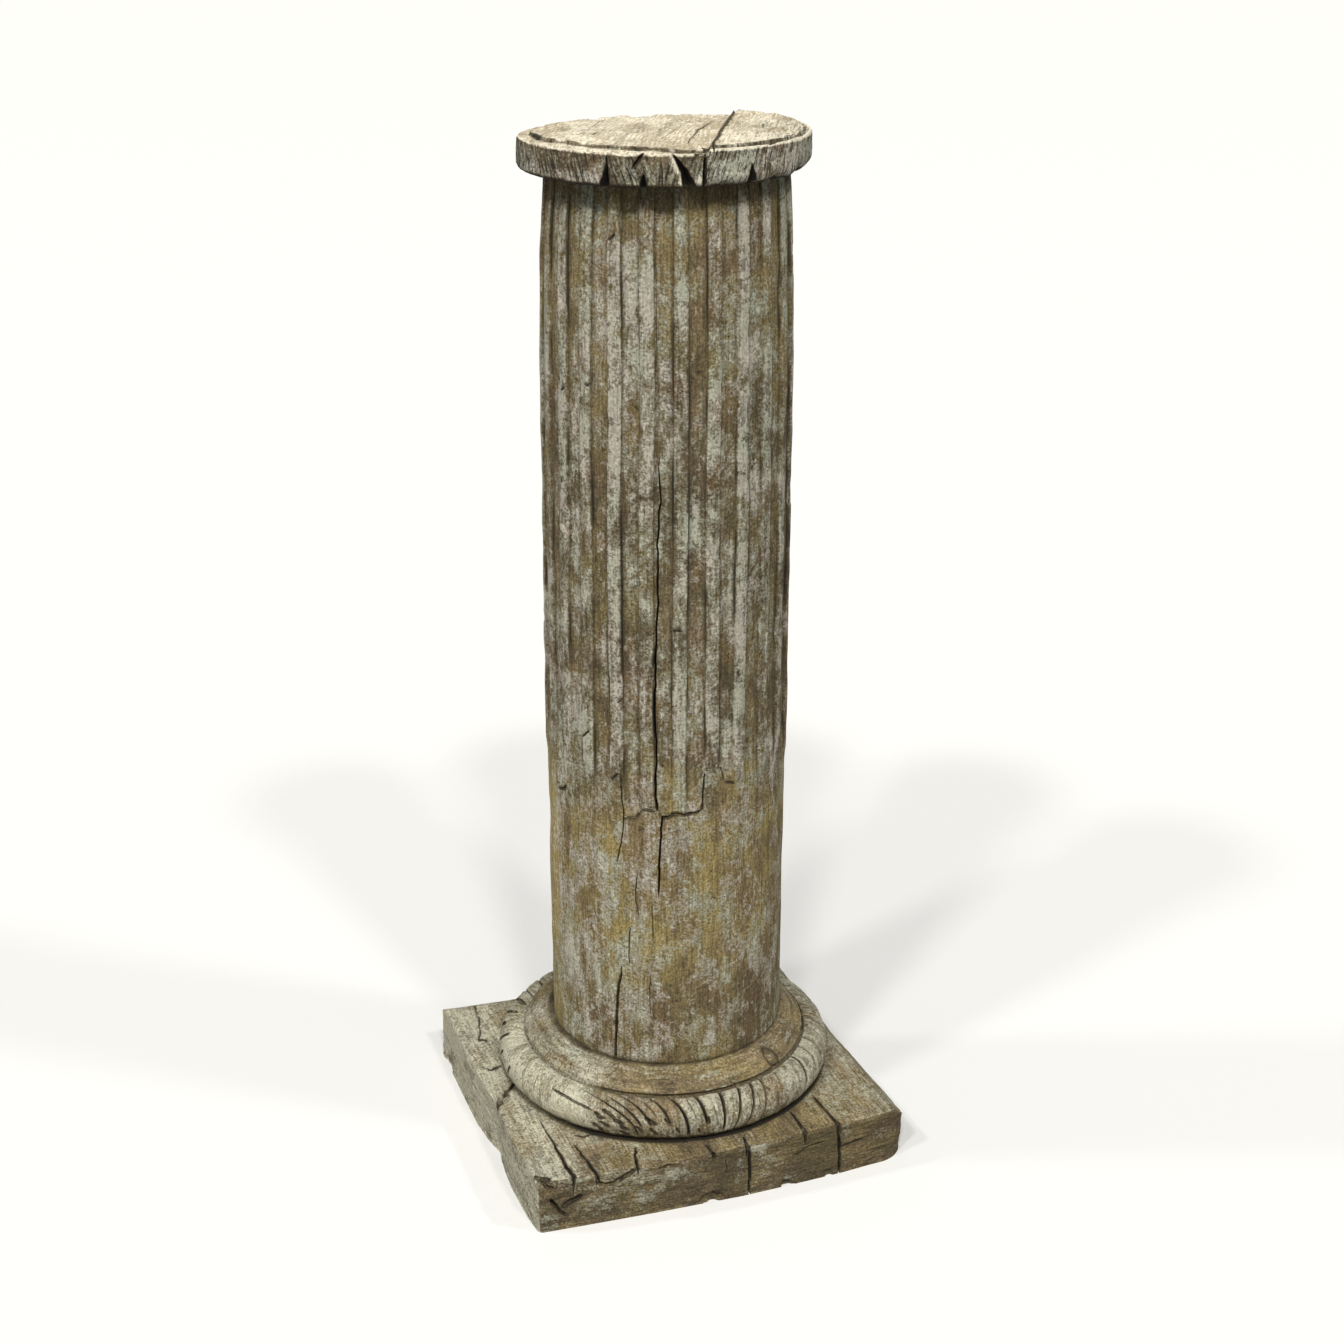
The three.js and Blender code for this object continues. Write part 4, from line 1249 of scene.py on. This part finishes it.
    places = readPoints(plinth)
    x, y, z = places.T
    # painted shade with dirt inside the checks and splits
    recess = splitsDark(places, plinthChecks + plinthTopSplits + plinthFaceSplits, soft=1.2 * mm)
    # painted shade with dirt on the top around the torus's foot, darker towards the front
    seatX, seatY, seatRadius = form["seat"]
    fromSeat = np.abs(np.hypot(x - seatX, y - seatY) - seatRadius)
    seatLine = (1 - ramp(fromSeat, 3.5 * mm, 7 * mm)) * (z > height - 5 * mm)
    recess = np.maximum(recess, seatLine * (0.45 + 0.5 * ramp(-y, 0.02, 0.12)))
    faceFront = ramp(-(y - (sideAt("frontFoot", x) + 4 * mm)), -1 * mm, 5 * mm)
    knot = roundSpot((x + 0.180) / (10 * mm), (z - 0.030) / (12 * mm)) * faceFront
    recess = np.maximum(recess, knot * 0.45 * (0.6 + 0.4 * smoothNoise(places, 3 * mm, 91, 2)))
    nx, ny, nz = readNormals(plinth).T
    onTop = ramp(nz, 0.45, 0.8)
    onFront = ramp(-ny, 0.5, 0.8) * (1 - onTop)
    onLeft = ramp(-nx, 0.5, 0.8) * (1 - onTop)
    paleLeft = onTop * ramp(-x - 0.9 * np.maximum(-y - 0.14, 0), 0.10, 0.18)
    paleRight = onTop * ramp(x, 0.08, 0.17)
    rightFace = ramp(x, 0.05, 0.085) * (1 - 0.6 * ramp(x, 0.118, 0.124))
    rightFace = rightFace + 0.7 * ramp(x, -0.03, -0.01) * (1 - ramp(x, 0.012, 0.018))
    frontStrip = onTop * ramp(-y, 0.125, 0.165) * (1 - ramp(-x, 0.13, 0.18)) * (1 - ramp(x, 0.08, 0.15))
    recess = np.maximum(recess, 0.36 * rightFace * onFront)
    smudges = np.zeros(len(places))
    for cx, cz, sx, sz in plinthSmudges:
        away = np.hypot((x / mm - cx) / sx, (z / mm - cz) / sz)
        away = away + 0.45 * smoothNoise(places, 8 * mm, 95, 3)
        smudges = np.maximum(smudges, (1 - ramp(away, 0.5, 1.15)) * onFront)
    edgeLine = ramp(z, height - 9 * mm, height - 4 * mm) * (1 - ramp(z, height - 2.5 * mm, height - 0.5 * mm))
    grainTop = np.stack([x, y / 14, z], 1)
    grainFront = np.stack([x / 10, y + 0.3, z], 1)
    grain = np.where((onFront > 0.5)[:, None], grainFront, grainTop)
    # the front face is painted darker and the left face and top left paler: partly the wood and wash, partly
    # painted light from above left
    masks = {
        "recess": recess,
        "proud": edgeLine * (onTop + onFront),
        "wash": (0.16 * smudges - (0.12 + 0.12 * rightFace) * onFront - 0.04 * onTop - 0.08 * frontStrip
                 + 0.15 * (onLeft + paleLeft) + 0.05 * paleRight),
        "tone": (0.6 * (onLeft + paleLeft) + 0.5 * paleRight - (0.45 + 0.35 * rightFace) * onFront
                 - 0.45 * frontStrip),
        "pale": 0.06 * paleRight + 0.16 * paleLeft + 0.14 * onLeft,
        "stain": 0.28 * onTop * (1 - paleLeft) + 0.1 * onLeft + 0.15 * onFront,
        "calm": 0.6 * onLeft + 0.5 * paleLeft,
    }
    finishPiece(plinth, "plinth", plinthWood, masks, grain)


plinthWood = washedWood("plinth wood", {
    "Wash Amount": 0.0, "Proud Pull": 0.06, "Streak Pull": 0.25, "Patch Pull": 0.7, "Flake Pull": 0.6,
    "Patch Scale": 26.0, "Streak Scale": 140.0, "Stain Amount": 0.25, "Film": 0.48, "Thick": 0.42,
    "Open Grain": 0.25, "Rust": (0.170, 0.115, 0.060, 1), "Warm Wash": (0.420, 0.404, 0.308, 1),
    "Pale Wash": (0.720, 0.700, 0.530, 1), "Pale Wood": (0.450, 0.415, 0.265, 1),
})
makePlinth()


# Cap: a round board with a raised panel, split through, its right part a little higher

capForm = {
    "shift": np.array([-2.5, 1.0, 0.0]) * mm,
    "radius": 138.0 * mm,
    "seat": 104.0 * mm,       # the underside starts this far out, on the shaft
    "lipWidth": 2.6 * mm,
    "columns": 600,
    "columnTurns": ([0, 252, 360], [-205, 25, 155]),    # even angles, and where they are moved to
    "wornSide": -20,
    "sagSide": 100,
    "rim": 30.5 * mm,
    "panelRise": 4.0 * mm,
    # how far inside the rim the panel's lip stands: angle and mm
    "panelInset": [
        (-205, 12), (-173, 16), (-154, 21), (-146, 21), (-119, 21), (-114, 19), (-107, 12), (-102, 4.5),
        (-93, 3.8), (-88, 3.8), (-57, 5), (-30, 6.5), (20, 8), (100, 9), (155, 12),
    ],
    "underRound": 6.0 * mm,
    "underWear": 9.0 * mm,
    "topRound": 2.2 * mm,
    "step": 3.5 * mm,
    "splitFromAxis": 54.0 * mm,
    "grainTurn": 63.0,
    "backSag": 6.0 * mm,
}
# Splits on the cap's top, with the widths at both ends, the depth and marks of (x, y) in mm
capTopSplits = [
    crack((5.0, 3.0), 12, (112, 100), (84, 47), (66, 11), (54, -13), (38, -44), (22, -75), (10, -97),
          (3, -111), (-6, -132), (-10, -143)),
    crack((0.9, 0.8), 4, (52, 72), (36, 39), (22, 18), (5, -9), (-12, -36), (-29, -63)),
    crack((1.2, 1.6), 5, (67, 48), (55, 26), (46, 12), (33, -8), (21, -24), (8, -50), (-5, -72),
          (-16, -96)),
    crack((1.0, 2.6), 4, (-91, -50), (-100, -62), (-112, -80)),
    crack((1.8, 0.8), 4, (-40, 96), (-48, 82), (-58, 60)),
    crack((0.8, 0.8), 2.5, (-70, -2), (-79, -20)),
    crack((1.0, 0.8), 2.5, (84, -30), (76, -48)),
]
# Breaks in the rim: the widths and depths at each mark, and the marks (angle, height above the ground in mm)
capRimBreaks = [
    crack((13.0, 9.0, 5.0, 2.6, 1.2), (16, 15, 12, 7, 4), (-132.8, 1015), (-132.6, 1024), (-132.2, 1034),
          (-131.9, 1044), (-131.8, 1050)),
    crack((9.0, 6.5, 1.6), (13, 10, 4), (-117.8, 1015), (-117.9, 1022), (-117.8, 1033)),
    crack((1.4, 3.4, 3.8, 2.2), (4, 7, 8, 6), (-122.0, 1037), (-120.8, 1042), (-119.2, 1047),
          (-117.4, 1052)),
    crack((13.0, 10.5, 6.5, 3.4, 2.0), (20, 18, 14, 9, 5), (-100.6, 1015), (-101.4, 1024), (-103.0, 1035),
          (-105.6, 1045), (-108.6, 1056)),
    crack((4.0, 3.4, 3.2, 3.0), (16, 16, 15, 14), (-95.8, 1015), (-95.5, 1030), (-95.2, 1042),
          (-94.6, 1058)),
    crack((12.0, 8.5, 1.4), (15, 12, 4), (-75.3, 1015), (-75.5, 1023), (-75.9, 1038)),
    crack((8, 5, 1.2), (12, 8, 3), (20, 1014), (20.6, 1024), (21, 1036)),
    crack((9, 5.6, 1.2), (14, 10, 3), (117, 1014), (117.5, 1028), (118.5, 1044)),
    crack((5, 1.2), (9, 3), (172, 1014), (171.6, 1030)),
]


def makeCap():
    form = capForm
    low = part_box("cap")[0].z
    columns = form["columns"]
    cap, row, column, rows = turnedBlank("splitCap", "cap", columns, 8, 12)

    # columns stand closer across the front
    angle = np.interp(column / columns * 360, *form["columnTurns"])
    direction = onCircle(angle, 1.0, 0.0)
    turn = form["grainTurn"] * degree
    side, along = np.array([math.sin(turn), -math.cos(turn)]), np.array([math.cos(turn), math.sin(turn)])
    worn = np.maximum(0, np.cos((angle - form["wornSide"]) * degree))
    wear = 1 + form["underWear"] / form["underRound"] * worn

    # the section in stages, from the underside to the middle of the top: the underside ends at row 8, its
    # rounding at 18, the rim at 42, the rim's top edge at 47, the ledge at 54, and the panel's lip at 58
    full, rim, rise = form["radius"], form["rim"], form["panelRise"]
    topRound, seat, lipWidth = form["topRound"], form["seat"], form["lipWidth"]
    wavy = smoothNoise(direction * 0.138, 16 * mm, 7, 2)
    insets = np.array(form["panelInset"])
    inset = np.maximum(np.interp(angle, insets[:, 0], insets[:, 1]) * mm + wavy * 1.6 * mm, 3.2 * mm)
    under = form["underRound"] * wear * (1 + 0.35 * smoothNoise(direction * 0.138, 16 * mm, 9, 3))
    quarter = np.clip((row - 8) / 10, 0, 1) * math.pi / 2
    bend = np.clip((row - 42) / 5, 0, 1) * math.pi / 2
    lip = np.clip((row - 54) / 4, 0, 1)
    inner = full - inset - lipWidth
    stages = [row <= 8, row <= 18, row <= 42, row <= 47, row <= 54, row <= 58]
    radius = np.select(stages, [
        seat + (full - under - seat) * row / 8, full - under + under * np.sin(quarter), full + 0 * angle,
        full - topRound * (1 - np.cos(bend)), full - topRound - (inset - topRound) * (row - 47) / 7,
        full - inset - lipWidth * lip], inner * (1 - (row - 58) / 38) + 1.2 * mm)
    height = np.select(stages, [
        0 * angle, under * (1 - np.cos(quarter)), under + (rim - topRound - under) * (row - 18) / 24,
        rim - topRound * (1 - np.sin(bend)), rim + 0 * angle, rim + rise * ramp(lip, 0, 1)], rim + rise)

    place = onCircle(angle, radius, height)
    offset = place[:, :2] @ side
    higher = ramp(offset, form["splitFromAxis"] - 1.5 * mm, form["splitFromAxis"] + 1.5 * mm)
    sagging = np.maximum(0, np.cos((angle - form["sagSide"]) * degree))
    sag = form["backSag"] * sagging * radius / full * (1 - higher)
    share = np.clip(height / rim, 0, 1)
    height = height + share * (form["step"] * higher - sag)

    # wear on the rim: upright growth lines, chips, a soft edge; on top: ridges along the grain and dents
    spot = onCircle(angle, radius, height)
    onRim = ramp(row, 14, 20) * (1 - ramp(row, 43, 48))
    lean = np.interp(angle, [-205, -150, -122, -100, -60, 155], [0.25, 0.30, 0.42, -0.42, -0.2, 0.1])
    across = angle * degree * full + lean * (height - 0.5 * rim)
    lines = smoothNoise(np.stack([across, height * 0, height], 1), (2.2 * mm, 1, 34 * mm), 11, 2) * 0.95
    fanned = nearAngle(angle, -120, 34, 16)
    chips = ramp(smoothNoise(spot, (9 * mm, 9 * mm, 7 * mm), 15, 2), 0.35, 0.9)
    soft = smoothNoise(spot, 30 * mm, 19, 2)
    inward = onRim * (lines * (0.3 + 0.9 * fanned) + 0.6 + 0.8 * np.abs(soft) + 0.9 * chips) * mm
    wedge = nearAngle(angle, -97.4, 1.9, 1.2) * onRim * 2.2 * mm
    knob = roundSpot(angleGap(angle, -97.3) / 1.5, (height - 6 * mm) / (4 * mm)) * 2.4 * mm * onRim
    radius = radius - inward - wedge + knob
    onTop = ramp(row, 48, 58)
    ground = np.stack([place[:, :2] @ side, place[:, :2] @ along, 0 * angle], 1)
    ridges = smoothNoise(ground, (4.5 * mm, 60 * mm, 1), 23, 2) * 0.30
    ridges = ridges + smoothNoise(ground, (14 * mm, 45 * mm, 1), 27, 2) * 0.5
    farSide = ramp(np.abs(angleGap(angle, -110)), 50, 90)    # less broken away from the front
    dents = ramp(smoothNoise(spot, 22 * mm, 33, 2), 0.3, 1.0) * (1.2 - 0.6 * farSide)
    height = height - onTop * (ridges + dents + 0.8) * mm
    edgeChip = ramp(smoothNoise(spot, (11 * mm, 11 * mm, 30 * mm), 37, 2), 0.35, 0.8)
    edgeChip = edgeChip * ramp(row, 38, 44) * (1 - ramp(row, 50, 57))
    height = height - edgeChip * (1.8 - 1.2 * farSide) * mm
    lipWorn = ramp(smoothNoise(direction * 0.13, 14 * mm, 43, 2), 0.2, 0.8)
    height = height - lipWorn * ramp(row, 54, 58) * (1 - ramp(row, 58, 68)) * 1.6 * mm
    underside = (row > 2) & (row < 18)
    height = height + np.where(underside, np.abs(smoothNoise(spot, 12 * mm, 47, 2)) * 0.7 * mm, 0)
    height = np.clip(height, 0, None)
    writePoints(cap, onCircle(angle, radius, low + height) + form["shift"])

    topSplits = []
    for entry in capTopSplits:
        marks = np.array(entry["route"], float) * mm
        count, wander, level = 24, 0.9 * mm, low + rim + rise
        if entry is capTopSplits[0]:    # the through split
            count, wander, level = 60, 1.6 * mm, level + form["step"] * 0.5
        places = np.column_stack([marks, np.full(len(marks), level)])
        route = refineRoute(places, count, wander, seed=int(abs(entry["route"][0][0])))
        route[:, 2] = level
        widths = np.linspace(*entry["width"], count) * mm
        depth = entry["depth"] * mm
        topSplits.append(makeSplit(entry, route, upward, widths, depth, (0.3, 0.5), over=6 * mm))
    rimBreaks = []
    for entry in capRimBreaks:
        marks = np.array(entry["route"], float)
        places = onCircle(marks[:, 0], full, marks[:, 1] * mm)
        route = refineRoute(places, 18, 0.5 * mm, seed=int(abs(marks[0, 0])))
        spread, given = np.linspace(0, 1, 18), np.linspace(0, 1, len(marks))
        widths, depths = (np.interp(spread, given, entry[name]) * mm for name in ("width", "depth"))
        out = onCircle(polar(route)[0], 1.0, 0.0)
        rimBreaks.append(makeSplit(entry, route + form["shift"], out, widths, depths, (1.2, 0.4),
                                   floor=0.3, over=5 * mm))
    cutAway(cap, topSplits)
    cutAway(cap, rimBreaks)
    print("cap: shaped and split")

    places = readPoints(cap)
    local = places - form["shift"]
    angle, radius = polar(local)
    height = local[:, 2] - low
    offset = local[:, :2] @ side
    nz = readNormals(cap)[:, 2]
    onTop = ramp(nz, 0.45, 0.85) * (height > 20 * mm)
    # painted shade with dirt in the splits and breaks, less on the top
    recess = splitsDark(places, capTopSplits + capRimBreaks) * np.where(onTop > 0.5, 0.75, 1.0)
    # painted shade on the cap's underside and in the breaks below the rim
    deepIn = (radius < full - 4.5 * mm) & (nz < 0.3) & (height > 1 * mm) & (height < rim - 2 * mm)
    recess = np.maximum(recess, deepIn * 0.9)
    turned = np.where(angle > 155, angle - 360, angle)
    wavy = smoothNoise(onCircle(angle, 0.138, 0.0), 16 * mm, 7, 2)
    lipFoot = full - np.interp(turned, insets[:, 0], insets[:, 1]) * mm - 1.6 * mm * wavy
    lipHere = 1 - ramp(np.abs(radius - lipFoot + 0.6 * mm), 1.0 * mm, 2.6 * mm)
    lipHere = lipHere * (height > rim - 1.5 * mm) * (height < rim + 6 * mm)
    # painted shade with dirt at the foot of the panel's lip, more on the left
    lipShadeAndDirt = ramp(smoothNoise(places, 14 * mm, 81, 2), -0.25, 0.5)
    atLeft = nearAngle(angle, -150, 52, 24)
    recess = np.maximum(recess, lipHere * lipShadeAndDirt * (0.5 + 0.35 * atLeft))
    # painted shade at the bottom of the cap, where it sits on the shaft
    recess = np.maximum(recess, (1 - ramp(height, 1 * mm, 5 * mm)) * 0.8)
    underRim = ramp(height, rim - 9 * mm, rim - 3 * mm) * (1 - onTop)
    boards = np.stack([offset, local[:, :2] @ along, 0 * offset], 1)
    streaks = ramp(smoothNoise(boards, (10 * mm, 110 * mm, 1), 85, 2), -0.1, 0.6)
    pale = onTop * (1 - 0.25 * lipHere - 0.34 * streaks)
    fromEdge = np.abs(height - rim + 0.5 * mm - form["step"] * (offset > form["splitFromAxis"]))
    edgeLine = (1 - ramp(fromEdge, 0.8 * mm, 2.2 * mm)) * (radius > full - 4 * mm)
    scar = np.exp(-((angle + 104.5 + (height / mm - 15) * 0.17) / 1.7) ** 2) * (1 - onTop)
    foot = roundSpot(angleGap(angle, -97.3) / 1.1, (height - 6 * mm) / (3.6 * mm)) * (1 - onTop)
    scar = np.maximum(scar, foot * 0.8)
    pale = np.maximum(np.maximum(pale, edgeLine * 0.8), scar * 0.95)
    grainTop = np.stack([local[:, :2] @ side, local[:, :2] @ along / 12, 0 * angle], 1)
    lean = np.interp(angle, [-180, -150, -122, -100, -60, 180], [0.25, 0.30, 0.42, -0.42, -0.2, 0.1])
    grainRim = np.stack([angle * degree * full + lean * height, height / 10 + 1, 0 * angle], 1)
    grain = np.where((onTop > 0.5)[:, None], grainTop, grainRim)
    rightRim = ramp(angle, -98, -90) * (1 - ramp(angle, 60, 90))
    lowLeft = ramp(-height, -16 * mm, -8 * mm) * ramp(-angle, 128, 140)
    masks = {
        "recess": recess,
        "proud": edgeLine,
        "wash": (0.03 * onTop + 0.3 * scar
                 + (1 - onTop) * (-0.03 + 0.09 * rightRim + 0.09 * lowLeft - 0.06 * underRim)),
        "tone": 0.9 * onTop + (0.35 * rightRim - 0.45) * (1 - onTop),
        "pale": pale,
        "stain": 0.1 * onTop,
        "calm": 0.5 * onTop,
    }
    finishPiece(cap, "cap", capWood, masks, grain)


capWood = washedWood("cap wood", {
    "Wash Amount": 0.0, "Proud Pull": 0.2, "Streak Pull": 0.7, "Patch Pull": 0.6, "Flake Pull": 0.5,
    "Patch Scale": 30.0, "Streak Scale": 450.0, "Stain Amount": 0.2, "Film": 0.55, "Thick": 0.72,
    "Open Grain": 1.0,
})
makeCap()


# Floor, light and camera

def makeFloor():
    pickNothing()
    bpy.ops.mesh.primitive_plane_add(size=120, location=(0, 0, 0))
    floor = bpy.context.object
    floor.name = "paleFloor"
    material = bpy.data.materials.new("pale floor")
    material.use_nodes = True
    tree = material.node_tree
    shader = tree.nodes["Principled BSDF"]
    shader.inputs["Roughness"].default_value = 0.95
    seen = addNode(tree, "ShaderNodeLightPath").outputs["Is Camera Ray"]
    # the camera sees it paler than the light it throws back up at the wood
    colour = blendColours(tree, seen, (0.30, 0.30, 0.29, 1), (0.80, 0.80, 0.79, 1))
    tree.links.new(colour, shader.inputs["Base Color"])
    floor.data.materials.append(material)


studio = {
    # a wide soft light is several suns side by side: turn from this azimuth, and strength
    "keySuns": ((-80, 0.40), (-40, 0.60), (-20, 0.78), (0, 0.86), (20, 0.78), (40, 0.60), (82, 0.46)),
    "keyAzimuth": -119,
    "keyElevation": 49,
    "keyAngle": 5,
    "keyColour": (1.0, 0.98, 0.94),
    "skyStrength": 0.23,
    "backdrop": 0.93,
}


def makeLights():
    for number, (turn, strength) in enumerate(studio["keySuns"]):
        azimuth, elevation = (studio["keyAzimuth"] + turn) * degree, studio["keyElevation"] * degree
        towards = Vector((math.cos(azimuth) * math.cos(elevation), math.sin(azimuth) * math.cos(elevation),
                          math.sin(elevation)))
        pickNothing()
        bpy.ops.object.light_add(type="SUN", location=towards * 4)
        lamp = bpy.context.object
        lamp.name = f"keyLight{number + 1}"
        lamp.rotation_euler = towards.to_track_quat("Z", "Y").to_euler()
        lamp.data.angle = studio["keyAngle"] * degree
        lamp.data.energy = strength
        lamp.data.color = studio["keyColour"]
    world = bpy.data.worlds.new("pale studio")
    world.use_nodes = True
    tree = world.node_tree
    sky = tree.nodes["Background"]
    seen = addNode(tree, "ShaderNodeLightPath").outputs["Is Camera Ray"]
    light, shown = studio["skyStrength"], studio["backdrop"]
    colour = blendColours(tree, seen, (light * 0.95, light * 0.98, light, 1), (shown, shown, shown, 1))
    tree.links.new(colour, sky.inputs["Color"])
    bpy.context.scene.world = world
    bpy.context.scene.view_settings.view_transform = "Standard"


view = {    # the photograph's camera, worked out from its ellipses and the plinth's corners
    "place": (-0.7192, -1.9298, 1.3430),
    "turn": 20.6,             # degrees to the right of straight ahead
    "pitch": 22.02,           # degrees down
    "roll": 0.126,
    "focal": 2180.13,         # in pixels of the 1344 pixel frame
    "frame": 1344,
    "sensor": 36.0,
}


def makeCamera():
    turn, pitch, roll = (view[name] * degree for name in ("turn", "pitch", "roll"))
    forward = Vector((math.sin(turn) * math.cos(pitch), math.cos(turn) * math.cos(pitch), -math.sin(pitch)))
    right = Vector((math.cos(turn), -math.sin(turn), 0))
    up = right.cross(forward)
    right, up = right * math.cos(roll) + up * math.sin(roll), up * math.cos(roll) - right * math.sin(roll)
    pickNothing()
    bpy.ops.object.camera_add(location=view["place"])
    camera = bpy.context.object
    camera.name = "photoCamera"
    camera.rotation_euler = Matrix((right, up, -forward)).transposed().to_euler()
    camera.data.sensor_width = view["sensor"]
    camera.data.lens = view["focal"] / view["frame"] * view["sensor"]
    camera.data.clip_start, camera.data.clip_end = 0.05, 60
    bpy.context.scene.camera = camera


makeFloor()
makeLights()
makeCamera()
print("floor, lights and camera set")
